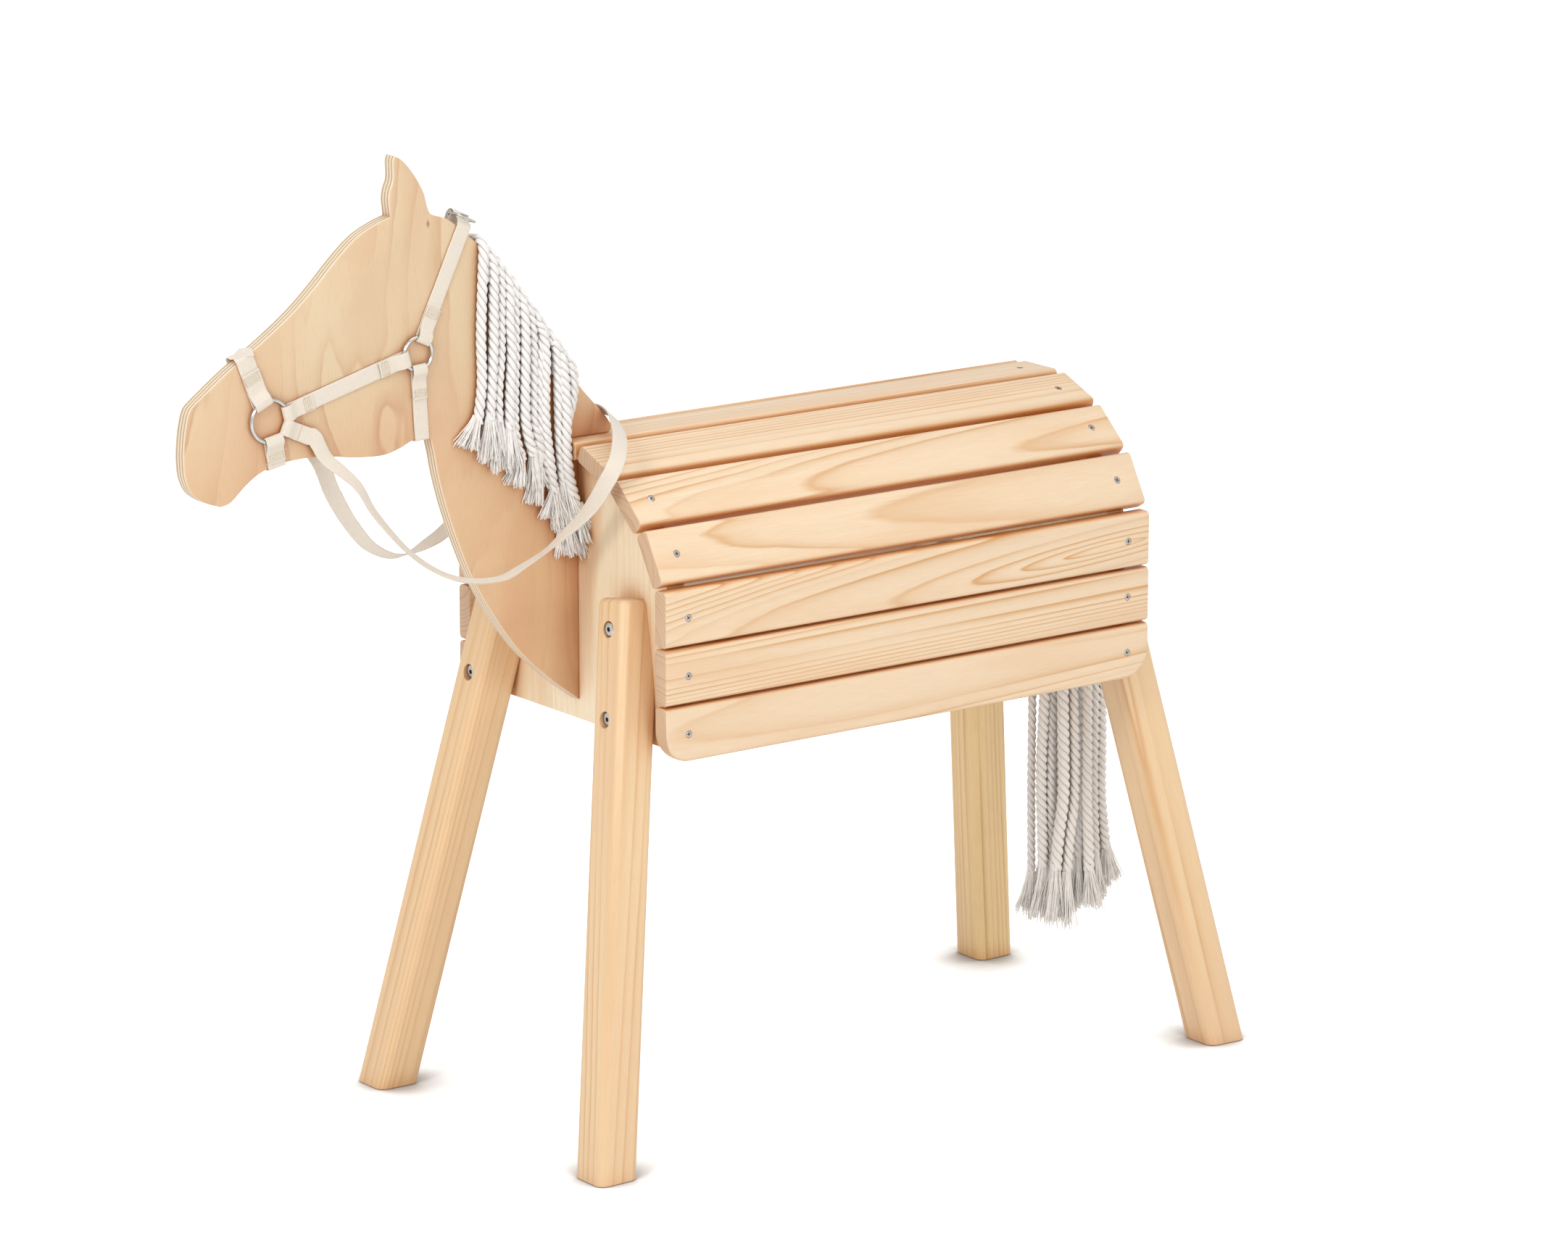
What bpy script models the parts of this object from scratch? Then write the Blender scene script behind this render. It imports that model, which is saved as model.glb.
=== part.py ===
# Slatted wooden play horse: a barrel of pine slats on four splayed legs, a
# plywood head and neck, a webbing halter with steel rings and reins, and a
# cotton rope mane and tail.
#
# World metres, +Z up, floor at z = 0.  The horse faces -Y and its left side
# is +X.  Dimensions are written in millimetres in the body's own frame, whose
# y = 0 is the slats' front ends; put() moves the origin under the middle of
# the whole horse and turns points to metres.

import bpy
import bmesh
import math
from mathutils import Vector

for old in list(bpy.data.objects):
    bpy.data.objects.remove(old, do_unlink=True)

# ------------------------------------------------- shared dimensions, mm
Y_MID = 174.2            # middle of the whole horse, from the slats' front ends
GAP = 0.3                # clearance between neighbouring pieces

SLAT_LEN = 756.0
SLAT_WIDTH = 70.0
SLAT_T = 23.0
SLAT_EDGE_R = 6.0        # rounding of the slats' long edges
LOW_CORNER_R = 37.0      # lower corners of the lowest slat
# outer face centre (x, z) and outward tilt in degrees: the top slat, then the
# left side's six from top to bottom
SLATS = [(0.0, 867.4, 0.0), (79.3, 853.7, 22.0), (147.4, 813.8, 41.8),
         (199.8, 754.7, 60.4), (223.8, 679.1, 90.0), (223.8, 606.4, 90.0),
         (223.8, 533.7, 90.0)]

BULK_T = 26.0            # end bulkheads
BULK_SET = 21.0          # how far the slats overhang a bulkhead's face
BULK_LOW = 511.0         # lower edge of a bulkhead
BULK_BACK = BULK_SET + BULK_T + GAP    # y just clear of the front one's inner face

PANEL_T = 21.0           # head and neck plywood

SIDES = ((1, "left"), (-1, "right"))


# ------------------------------------------------------------- helpers
def put(x, y, z):
    """Body-frame millimetres to world metres."""
    return Vector((x, y - Y_MID, z)) * 0.001


def material(name, colour, roughness, metallic=0.0):
    mat = bpy.data.materials.get(name)
    if mat is None:
        mat = bpy.data.materials.new(name)
        mat.use_nodes = True
        shader = mat.node_tree.nodes.get("Principled BSDF")
        shader.inputs["Base Color"].default_value = (*colour, 1.0)
        shader.inputs["Roughness"].default_value = roughness
        shader.inputs["Metallic"].default_value = metallic
    return mat


def finish(bm, name, mat, smooth=None):
    """Turn a bmesh into a named object; smooth is an angle for sharp edges."""
    bmesh.ops.recalc_face_normals(bm, faces=bm.faces)
    mesh = bpy.data.meshes.new(name)
    bm.to_mesh(mesh)
    bm.free()
    if smooth is not None:
        mesh.shade_smooth()
        mesh.set_sharp_from_angle(angle=math.radians(smooth))
    mesh.materials.append(mat)
    obj = bpy.data.objects.new(name, mesh)
    bpy.context.scene.collection.objects.link(obj)
    return obj


def bridge(rings, closed=False):
    """A bmesh of rings joined in turn; capped unless closed on itself."""
    bm = bmesh.new()
    loops = [[bm.verts.new(point) for point in ring] for ring in rings]
    count = len(loops[0])
    pairs = list(zip(loops, loops[1:]))
    if closed:
        pairs.append((loops[-1], loops[0]))
    for near, far in pairs:
        for i in range(count):
            j = (i + 1) % count
            bm.faces.new((near[i], near[j], far[j], far[i]))
    if not closed:
        bm.faces.new(loops[0])
        bm.faces.new(list(reversed(loops[-1])))
    return bm


def skin(rings, name, mat, closed=False, smooth=None):
    """An object bridged from rings of world points."""
    return finish(bridge(rings, closed), name, mat, smooth)


def cut(obj, cutter):
    """Subtract a hidden helper from an object."""
    cutter.hide_render = True
    cutter.display_type = 'WIRE'
    mod = obj.modifiers.new("cut_" + cutter.name, 'BOOLEAN')
    mod.operation = 'DIFFERENCE'
    mod.solver = 'EXACT'
    mod.object = cutter


def circle(radius, count):
    """Points round a circle, the first not repeated."""
    return [(radius * math.cos(math.tau * k / count), radius * math.sin(math.tau * k / count))
            for k in range(count)]


def arc(start, sweep, steps, radius=1.0):
    """Points along an arc about the origin, both ends included; degrees."""
    angles = [math.radians(start + sweep * k / steps) for k in range(steps + 1)]
    return [(radius * math.cos(angle), radius * math.sin(angle)) for angle in angles]


def rounded_rect(width, height, radius, steps):
    """Corner-rounded rectangle centred on the origin, anticlockwise."""
    right, top = width / 2 - radius, height / 2 - radius
    return [(x0 + x, z0 + z)
            for x0, z0, start in ((right, top, 0), (-right, top, 90),
                                  (-right, -top, 180), (right, -top, 270))
            for x, z in arc(start, 90, steps, radius)]


def heading(start, end):
    """Unit direction from one 2D point to another."""
    length = math.dist(start, end)
    return (end[0] - start[0]) / length, (end[1] - start[1]) / length


def catmull(knots, steps):
    """A smooth open curve through the knots, ends included."""
    lead_in = tuple(2 * a - b for a, b in zip(knots[0], knots[1]))
    lead_out = tuple(2 * a - b for a, b in zip(knots[-1], knots[-2]))
    padded = [lead_in, *knots, lead_out]
    curve = []
    for window in zip(padded, padded[1:], padded[2:], padded[3:]):
        for k in range(steps):
            t = k / steps
            curve.append(tuple(
                0.5 * (2 * start + (end - before) * t
                       + (2 * before - 5 * start + 4 * end - after) * t * t
                       + (3 * start - before - 3 * end + after) * t ** 3)
                for before, start, end, after in zip(*window)))
    curve.append(tuple(knots[-1]))
    return curve


def turned_y(profile, x, z, name, mat, count=20):
    """A solid of revolution about a line along Y; profile is (radius, y)."""
    rings = [[put(x + across, y, z + up) for across, up in circle(radius, count)]
             for radius, y in profile]
    return skin(rings, name, mat, smooth=35)


def plate_x(outline, x0, x1, name, mat):
    """A flat piece: a (y, z) outline between two x planes."""
    return skin([[put(x, y, z) for y, z in outline] for x in (x0, x1)], name, mat)


def plate_y(outline, y0, y1, name, mat):
    """A flat piece: an (x, z) outline between two y planes."""
    return skin([[put(x, y, z) for x, z in outline] for y in (y0, y1)], name, mat)


# ----------------------------------------------------------- materials
PINE = material("pine_slat", colour=(0.86, 0.66, 0.40), roughness=0.55)
LEG_PINE = material("pine_leg", colour=(0.85, 0.63, 0.37), roughness=0.55)
BOARD = material("bulkhead_board", colour=(0.88, 0.71, 0.46), roughness=0.55)
PLY = material("birch_ply", colour=(0.78, 0.56, 0.34), roughness=0.50)
STEEL = material("nickel_steel", colour=(0.62, 0.61, 0.59), roughness=0.25, metallic=1.0)
ZINC = material("zinc_steel", colour=(0.70, 0.70, 0.68), roughness=0.35, metallic=1.0)
WEBBING = material("cotton_webbing", colour=(0.80, 0.75, 0.65), roughness=0.95)
ROPE = material("cotton_rope", colour=(0.82, 0.80, 0.76), roughness=0.95)
TAIL_ROPE = material("tail_rope", colour=(0.74, 0.69, 0.62), roughness=0.95)


# -------------------------------------------------------- slatted body
def slat(face_x, face_z, tilt, side, name):
    """A slat with rounded long edges, from its outer face centre and tilt."""
    sin_tilt, cos_tilt = math.sin(math.radians(tilt)), math.cos(math.radians(tilt))
    section = []
    for across, out in rounded_rect(SLAT_WIDTH, SLAT_T, SLAT_EDGE_R, 3):
        out -= SLAT_T / 2
        section.append((side * (face_x + cos_tilt * across + sin_tilt * out),
                        face_z - sin_tilt * across + cos_tilt * out))
    skin([[put(x, y, z) for x, z in section] for y in (0, SLAT_LEN)], name, PINE, smooth=40)


def low_slat(side, name):
    """The lowest slat: its lower corners are rounded off at both ends."""
    outer, middle, _ = SLATS[-1]
    bottom, top = middle - SLAT_WIDTH / 2, middle + SLAT_WIDTH / 2
    outline = [(0.0, top), (SLAT_LEN, top)]
    for corner_y, start in ((SLAT_LEN - LOW_CORNER_R, 0), (LOW_CORNER_R, -90)):
        outline += [(corner_y + y, bottom + LOW_CORNER_R + z)
                    for y, z in arc(start, -90, 6, LOW_CORNER_R)]
    plate_x(outline, side * (outer - SLAT_T), side * outer, name, PINE)


def body_slats():
    slat(*SLATS[0], 1, "back_slat_top")
    for i, spec in enumerate(SLATS[1:-1], 1):
        for side, side_name in SIDES:
            slat(*spec, side, "back_slat_%s_%d" % (side_name, i))
    for side, side_name in SIDES:
        low_slat(side, "back_slat_%s_%d" % (side_name, len(SLATS) - 1))


def bulkhead_outline():
    """The inner faces of the slats, and a level lower edge."""
    # each face as a line: its outward normal and distance from the origin
    lines = []
    for face_x, face_z, tilt in SLATS[:5]:
        sin_tilt, cos_tilt = math.sin(math.radians(tilt)), math.cos(math.radians(tilt))
        lines.append((sin_tilt, cos_tilt,
                      sin_tilt * face_x + cos_tilt * face_z - SLAT_T - GAP))
    left = []
    for (nx1, nz1, dist1), (nx2, nz2, dist2) in zip(lines, lines[1:]):
        det = nx1 * nz2 - nz1 * nx2
        left.append(((dist1 * nz2 - dist2 * nz1) / det, (nx1 * dist2 - nx2 * dist1) / det))
    left.append((lines[-1][2], BULK_LOW))
    return [(-x, z) for x, z in reversed(left)] + left


def bulkheads():
    outline = bulkhead_outline()
    front = plate_y(outline, BULK_SET, BULK_SET + BULK_T, "front_bulkhead", BOARD)
    rear = plate_y(outline, SLAT_LEN - BULK_SET - BULK_T, SLAT_LEN - BULK_SET,
                   "rear_bulkhead", BOARD)
    return front, rear


# ---------------------------------------------------------------- legs
LEG_WIDTH = 58.0
LEG_EDGE_R = 12.0        # rounding of a leg's long edges
FOOT_X = 242.3           # foot centre on the floor
FOOT_Y = -106.0
LEG_LEAN_X = 0.172       # inward per unit of height
LEG_LEAN_Y = 0.178       # towards the body per unit of height
LEG_TOP = 687.0          # height of the leg's axis at its square top
LEG_SPARE = 60.0         # leg built below the floor, then cut off level

# two bolts to a leg: name, height, seat depth behind the leg's sloping face
LEG_BOLTS = (("upper", 654.0, 4.6), ("lower", 547.0, 7.6))
BOLT_R = 4.0
BOLT_HEAD_R = 8.8
BOLT_HEAD_H = 3.6
BOLT_POCKET_R = 10.3
BOLT_PROUD = 3.0         # shank beyond the plate
PLATE_T = 3.0
PLATE_WIDTH = 26.0
PLATE_SPARE = 36.0       # plate length beyond the bolt spacing
PLATE_CORNER_R = 6.0


def flip(y, is_rear):
    """A front leg's y, mirrored end for end for a rear one."""
    return SLAT_LEN - y if is_rear else y


def flip_profile(profile, is_rear):
    return [(radius, flip(y, is_rear)) for radius, y in profile]


def leg(side, is_rear, name):
    foot = Vector((side * FOOT_X, FOOT_Y, 0.0))
    axis = Vector((-side * LEG_LEAN_X, LEG_LEAN_Y, 1.0))
    along = axis.normalized()
    across = Vector((1, 0, 0)) - along * along.x
    across.normalize()
    through = along.cross(across)
    section = rounded_rect(LEG_WIDTH, LEG_WIDTH, LEG_EDGE_R, 4)
    bm = bridge([[base + across * p + through * q for p, q in section]
                 for base in (foot - axis * LEG_SPARE, foot + axis * LEG_TOP)])
    bmesh.ops.recalc_face_normals(bm, faces=bm.faces)
    # the floor cut, and the flat that lies against the bulkhead
    for point, normal in (((0, 0, 0), (0, 0, -1)), ((0, BULK_SET - GAP, 0), (0, 1, 0))):
        geom = list(bm.verts) + list(bm.edges) + list(bm.faces)
        result = bmesh.ops.bisect_plane(bm, geom=geom, plane_co=point, plane_no=normal,
                                        clear_outer=True, dist=1e-4)
        edges = [e for e in result["geom_cut"] if isinstance(e, bmesh.types.BMEdge)]
        bmesh.ops.contextual_create(bm, geom=edges)
    for vert in bm.verts:
        vert.co = put(vert.co.x, flip(vert.co.y, is_rear), vert.co.z)
    return finish(bm, name, LEG_PINE, 30)


def leg_bolt_centres(side):
    """(x, z) of a leg's two bolts, on the leg's centre line."""
    return [(side * (FOOT_X - LEG_LEAN_X * z), z) for _, z, _ in LEG_BOLTS]


def leg_bolts(side, is_rear, where, cut_pieces):
    """Two bolts, with stepped holes through each of the pieces."""
    for k, (x, z) in enumerate(leg_bolt_centres(side)):
        level, _, sink = LEG_BOLTS[k]
        # the front leg's front face on its centre line
        face = FOOT_Y + LEG_LEAN_Y * z - LEG_WIDTH / 2 * math.sqrt(1 + LEG_LEAN_Y ** 2)
        seat = face + sink
        hole_profile = [(BOLT_POCKET_R, face - 30),
                        (BOLT_POCKET_R, seat),
                        (BOLT_R + GAP, seat),
                        (BOLT_R + GAP, BULK_BACK + 20)]
        hole = turned_y(flip_profile(hole_profile, is_rear), x, z,
                        "hole_%s_%d" % (where, k), STEEL, 24)
        for piece in cut_pieces:
            cut(piece, hole)
        bolt_profile = [(BOLT_HEAD_R, seat - GAP - BOLT_HEAD_H),
                        (BOLT_HEAD_R, seat - GAP),
                        (BOLT_R, seat - GAP),
                        (BOLT_R, BULK_BACK + PLATE_T + BOLT_PROUD)]
        turned_y(flip_profile(bolt_profile, is_rear), x, z,
                 "leg_bolt_%s_%s" % (where, level), STEEL)


def leg_plate(side, is_rear, where):
    """A steel plate on the bulkhead's inner face that takes both bolts."""
    upper, lower = leg_bolt_centres(side)
    dir_x, dir_z = heading(upper, lower)
    mid_x, mid_z = (upper[0] + lower[0]) / 2, (upper[1] + lower[1]) / 2
    outline = [(mid_x + dir_x * p - dir_z * q, mid_z + dir_z * p + dir_x * q)
               for p, q in rounded_rect(math.dist(upper, lower) + PLATE_SPARE,
                                        PLATE_WIDTH, PLATE_CORNER_R, 3)]
    y0, y1 = sorted((flip(BULK_BACK, is_rear), flip(BULK_BACK + PLATE_T, is_rear)))
    plate = plate_y(outline, y0, y1, "leg_plate_" + where, ZINC)
    hole_profile = sorted(flip_profile([(BOLT_R + GAP, BULK_BACK - 8),
                                        (BOLT_R + GAP, BULK_BACK + 12)], is_rear))
    for k, (x, z) in enumerate((upper, lower)):
        cut(plate, turned_y(hole_profile, x, z, "plate_hole_%s_%d" % (where, k), ZINC, 24))


def legs(front, rear):
    for is_rear, bulkhead, end_name in ((False, front, "front"), (True, rear, "rear")):
        for side, side_name in SIDES:
            where = "%s_%s" % (end_name, side_name)
            body = leg(side, is_rear, "leg_" + where)
            leg_bolts(side, is_rear, where, (body, bulkhead))
            leg_plate(side, is_rear, where)


# ------------------------------------------------------- head and neck
# Outline of the head and neck, (y, z), drawn anticlockwise seen from the left
# side with the head to the left: each run is a smooth curve through its knots.
CREST = [(72.0, 876.5), (64.0, 888.5), (46.5, 907.5), (25.0, 931.5),
         (-7.0, 974.0), (-38.7, 1016.0), (-80.7, 1070.2), (-120.3, 1119.1)]
POLL = [(-120.3, 1119.1), (-125.0, 1126.0), (-138.0, 1137.0),
        (-156.6, 1152.4), (-172.2, 1161.6), (-187.8, 1166.3)]
EAR_BACK = [(-187.8, 1166.3), (-192.0, 1170.3), (-195.2, 1178.0),
            (-200.8, 1196.8), (-215.0, 1220.2), (-229.5, 1236.6),
            (-240.8, 1243.4)]
EAR_FRONT = [(-240.8, 1243.4), (-243.3, 1236.0), (-243.2, 1216.0),
             (-247.8, 1203.0), (-249.8, 1192.0), (-248.6, 1178.0),
             (-247.6, 1170.6)]
FOREHEAD = [(-247.6, 1170.6), (-269.0, 1163.8), (-297.0, 1150.4),
            (-326.6, 1126.0), (-357.8, 1095.9), (-389.0, 1069.2),
            (-430.0, 1040.6), (-481.4, 1008.6), (-520.0, 981.0)]
NOSE = [(-520.0, 981.0), (-532.6, 970.2), (-538.4, 953.0),
        (-541.9, 931.0), (-543.0, 908.0), (-540.6, 887.0), (-531.6, 868.6),
        (-514.0, 856.0), (-493.0, 848.4)]
JAW = [(-493.0, 848.4), (-478.5, 852.6), (-457.4, 870.0), (-437.0, 882.4),
       (-412.0, 889.4), (-378.0, 892.2), (-339.6, 889.8), (-303.6, 884.0),
       (-265.0, 881.4), (-240.0, 886.6), (-222.0, 893.8), (-206.0, 896.8)]
THROAT = [(-194.0, 893.0), (-188.9, 872.0), (-184.0, 846.0),
          (-173.0, 806.0), (-156.0, 758.0), (-134.0, 708.0),
          (-104.0, 658.0), (-66.0, 608.0), (-22.0, 567.4), (20.7, 535.4)]
# each run and its curve steps between knots
PANEL_RUNS = ((CREST, 2), (POLL, 2), (EAR_BACK, 3), (EAR_FRONT, 3),
              (FOREHEAD, 3), (NOSE, 3), (JAW, 2), (THROAT, 3))
MIN_STEP = 0.4           # closer outline points are merged

NOTCH_Y = -1.4           # panel edge just ahead of the top slat's end
NOTCH_DROP = 1.2         # clearance under the top slat
TAIL_END = (67.0, 71.4, 870.4)   # y on the slat; y, z of the corner above it

NECK_BOLTS = (("lower", 622.0), ("upper", 770.0))    # name and height
NECK_BOLT_R = 3.0
NECK_BOLT_HEAD_R = 8.0
NECK_BOLT_HEAD_H = 4.0
NECK_BOLT_TIP = -34.0    # y of the bolt's front end
NECK_HOLE_TIP = -38.0


def panel_outline():
    """The smooth runs, then the straight foot that fits round the top slat."""
    points = []
    # a run's last knot is left out: the next run brings its own start
    for run, steps in PANEL_RUNS:
        points += catmull(run, steps)[:-1]
    back = BULK_SET - GAP
    under = SLATS[0][1] - SLAT_T - NOTCH_DROP
    over = SLATS[0][1] + GAP
    points += [THROAT[-1], (back, 560.0), (back, under), (NOTCH_Y, under),
               (NOTCH_Y, over), (TAIL_END[0], over), TAIL_END[1:]]
    outline = []
    for point in points:
        if not outline or math.dist(point, outline[-1]) > MIN_STEP:
            outline.append(point)
    return outline


def head_panel(outline, front):
    """The plywood panel, and the bolts from inside the body that hold it."""
    panel = plate_x(outline, -PANEL_T / 2, PANEL_T / 2, "head_neck_panel", PLY)
    for k, (level, z) in enumerate(NECK_BOLTS):
        hole_profile = [(NECK_BOLT_R + GAP, NECK_HOLE_TIP), (NECK_BOLT_R + GAP, BULK_BACK + 20)]
        hole = turned_y(hole_profile, 0.0, z, "neck_hole_%d" % k, ZINC, 16)
        cut(panel, hole)
        cut(front, hole)
        turned_y([(NECK_BOLT_R, NECK_BOLT_TIP), (NECK_BOLT_R, BULK_BACK),
                  (NECK_BOLT_HEAD_R, BULK_BACK),
                  (NECK_BOLT_HEAD_R, BULK_BACK + NECK_BOLT_HEAD_H)],
                 0.0, z, "neck_bolt_" + level, ZINC, 16)


# -------------------------------------------------------------- halter
WEB_T = 1.8              # webbing
WEB_WIDTH = 20.5
NOSE_WIDTH = 25.0        # noseband and chin strap
WIRE_R = 2.4             # ring wire
RING_X = 15.5
NOSE_RING = (-426.0, 945.0, 25.7)    # y, z, wire circle radius
CHEEK_RING = (-215.0, 1001.0, 20.1)
BASE_X = PANEL_T / 2 + GAP + WEB_T / 2        # webbing lying on the wood
OUTER_X = BASE_X + WEB_T + 0.35               # the turned-back layer over it
FOLD_NARROW = 0.68       # share of its width webbing keeps inside a ring
WIRE_SLACK = 0.4         # between webbing and the wire it goes round

# A strap line is (ring, angle): it leaves the ring's centre in the y-z plane,
# the angle in degrees from +Y towards +Z.
CROWN_LINE = (CHEEK_RING, 64.4)
REIN_LINE = (NOSE_RING, -25.0)
# straps from ring to ring round the panel's edge: name, line, width, cut end
# beyond the ring
EDGE_STRAPS = (("noseband", (NOSE_RING, 114.0), NOSE_WIDTH, 27.0),
               ("chin_strap", (NOSE_RING, -79.0), NOSE_WIDTH, 27.0),
               ("throat_strap", (CHEEK_RING, -86.4), WEB_WIDTH, 26.0))


def on_line(line, x, s, across=0.0):
    """The point s along a strap line, and across it in the y-z plane."""
    (y, z, _), angle = line
    cos_a, sin_a = math.cos(math.radians(angle)), math.sin(math.radians(angle))
    return x, y + cos_a * s + sin_a * across, z + sin_a * s - cos_a * across


def line_width_dir(line):
    """Direction of a strap's width, square to its line."""
    angle = math.radians(line[1])
    return 0.0, math.sin(angle), -math.cos(angle)


def ribbon(path, wides, widths, name):
    """Flat webbing along a path; wides are the directions its width lies in."""
    points = [Vector(point) for point in path]
    rings = []
    for i, point in enumerate(points):
        tangent = points[min(i + 1, len(points) - 1)] - points[max(i - 1, 0)]
        tangent.normalize()
        wide = Vector(wides[i])
        wide -= tangent * wide.dot(tangent)
        wide.normalize()
        normal = tangent.cross(wide)
        rings.append([put(*(point + wide * p * (widths[i] / 2) + normal * q * (WEB_T / 2)))
                      for p, q in ((1, 1), (-1, 1), (-1, -1), (1, -1))])
    skin(rings, name, WEBBING)
    return bpy.data.objects[name]


def strap(line, points, name):
    """Webbing along a strap line; points are (x, s, width)."""
    return ribbon([on_line(line, x, s) for x, s, _ in points],
                  [line_width_dir(line)] * len(points),
                  [width for _, _, width in points], name)


def mirrored(points):
    """The same points on the other side of the horse."""
    return [(-x, *rest) for x, *rest in points]


def fold(radius, width, end, lift=0.0):
    """Webbing folded round ring wire that crosses it at distance radius along
    the strap: (x, s, width) from the cut end on the outside, round the wire,
    to the layer nearer the wood.  The wire curves across the webbing's width,
    so the loop is longer than it is thick."""
    base, outer = BASE_X + lift, OUTER_X + lift
    narrow = width * FOLD_NARROW
    sag = radius - math.sqrt(radius * radius - narrow * narrow / 4)
    loop_x = WIRE_R + WIRE_SLACK + WEB_T / 2
    loop_s = loop_x + sag / 2 + 0.2
    middle = radius - sag / 2
    points = [(outer, radius + end, width), (outer, radius + 19, width),
              (outer + 1.3, radius + 12, width * 0.9),
              (RING_X + loop_x, radius + 4.5, narrow)]
    points += [(RING_X + loop_x * p, middle + loop_s * q, narrow) for p, q in arc(0, -180, 8)]
    points += [(base, radius + 6, narrow), (base, radius + 15, width)]
    return points


def edge_distance(outline, line, half_width):
    """How far the panel goes along a strap's line, over the strap's width."""
    (y0, z0, _), angle = line
    cos_a, sin_a = math.cos(math.radians(angle)), math.sin(math.radians(angle))
    best = 0.0
    for start, end in zip(outline, outline[1:] + outline[:1]):
        for k in range(9):
            y = start[0] + (end[0] - start[0]) * k / 8 - y0
            z = start[1] + (end[1] - start[1]) * k / 8 - z0
            s, across = y * cos_a + z * sin_a, y * sin_a - z * cos_a
            if abs(across) <= half_width and s > best:
                best = s
    return best


def over_edge(edge, width):
    """From the left face round the panel's edge to the middle: (x, s, width)."""
    bend_r = 0.5 + WEB_T / 2
    bend_x = PANEL_T / 2 - 0.2
    points = [(BASE_X, edge - 4, width)]
    points += [(bend_x + x, edge + 0.3 + s, width) for x, s in arc(0, 90, 3, bend_r)]
    points.append((0.0, edge + 0.3 + bend_r, width))
    return points


def halter_ring(side, spec, name):
    centre_y, centre_z, radius = spec
    rings = []
    for cos_a, sin_a in circle(1.0, 28):
        rings.append([put(side * RING_X + across, centre_y + (radius + out) * cos_a,
                          centre_z + (radius + out) * sin_a)
                      for across, out in circle(WIRE_R, 8)])
    skin(rings, name, STEEL, closed=True, smooth=60)


def edge_straps(outline):
    """Straps over the nose, under the chin and under the jaw."""
    for name, line, width, end in EDGE_STRAPS:
        edge = edge_distance(outline, line, width / 2 + 0.5)
        half = fold(line[0][2], width, end) + over_edge(edge, width)
        strap(line, half + mirrored(reversed(half[:-1])), name)


def cheek_straps():
    """Nose ring to cheek ring on each side, drawn from the nose."""
    nose, cheek = NOSE_RING[:2], CHEEK_RING[:2]
    span = math.dist(nose, cheek)
    angle = math.degrees(math.atan2(cheek[1] - nose[1], cheek[0] - nose[0]))
    points = fold(NOSE_RING[2], WEB_WIDTH, 32.0)
    points += [(x, span - s, width)
               for x, s, width in reversed(fold(CHEEK_RING[2], WEB_WIDTH, 30.0))]
    strap((NOSE_RING, angle), points, "cheek_strap_left")
    strap((NOSE_RING, angle), mirrored(points), "cheek_strap_right")


def halter(outline):
    for side, side_name in SIDES:
        halter_ring(side, NOSE_RING, "nose_ring_" + side_name)
        halter_ring(side, CHEEK_RING, "cheek_ring_" + side_name)
    edge_straps(outline)
    cheek_straps()


# ------------------------------------------------- crown strap, buckle
BAR_X = 13.0             # the buckle's two bars, either side of the poll
BAR_R = 1.5
BUCKLE_S = 173.5         # height of the buckle's plane along the crown line
FRAME_WIDTH = 28.0       # across the strap, wire centre to wire centre
FRAME_CORNER_R = 4.0
PRONG_R = 1.1
SLOT_HALF = 1.9          # half width of the slots the prong passes through
CROWN_END = 26.0         # cut end beyond the cheek ring

# the tongue half, (x, s from the buckle's plane): up the left face, under the
# left bar, up through the frame and down over the right bar
TONGUE = [(BASE_X, -30), (BASE_X + 0.4, -15), (BASE_X - 0.1, -9.5), (9.0, -5.0),
          (4.0, -2.2), (0.0, 0.2), (-5.0, 3.1), (-9.5, 5.3), (-13.5, 5.8),
          (-17.2, 3.9), (-18.9, 0), (-18.4, -6), (-17.2, -14), (-16.4, -22),
          (-16.3, -52)]


def crown_point(x, s, across=0.0):
    """A point in the buckle's frame: s is measured from the buckle's plane."""
    return on_line(CROWN_LINE, x, BUCKLE_S + s, across)


def from_buckle(points):
    """(x, s) from the buckle's plane to full-width strap points."""
    return [(x, BUCKLE_S + s, WEB_WIDTH) for x, s in points]


def prong_slot(x0, x1, s0, s1, name):
    """Cutter for a slot through the webbing."""
    corners = ((x0, s0), (x1, s0), (x1, s1), (x0, s1))
    rings = [[put(*crown_point(x, s, across)) for x, s in corners]
             for across in (-SLOT_HALF, SLOT_HALF)]
    return skin(rings, name, WEBBING)


def tongue_strap():
    """The half from the left cheek ring, through the buckle."""
    points = fold(CHEEK_RING[2], WEB_WIDTH, CROWN_END) + from_buckle(TONGUE)
    tongue = strap(CROWN_LINE, points, "crown_strap")
    cut(tongue, prong_slot(-16.0, 3.0, -3, 14, "tongue_slot"))


def buckle_strap():
    """The half from the right cheek ring, turned back round the right bar."""
    bend_r = BAR_R + WIRE_SLACK + WEB_T / 2
    turn = [(-BASE_X, -26), (-BASE_X, -12)]
    turn += [(-BAR_X + x, s) for x, s in arc(0, 180, 6, bend_r)]
    turn += [(-OUTER_X - 0.3, -9), (-OUTER_X, -14), (-OUTER_X, -30)]
    points = mirrored(fold(CHEEK_RING[2], WEB_WIDTH, CROWN_END)) + from_buckle(turn)
    buckle_side = strap(CROWN_LINE, points, "crown_buckle_strap")
    cut(buckle_side, prong_slot(-19.0, -5.0, -6, 8, "fold_slot"))


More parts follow.
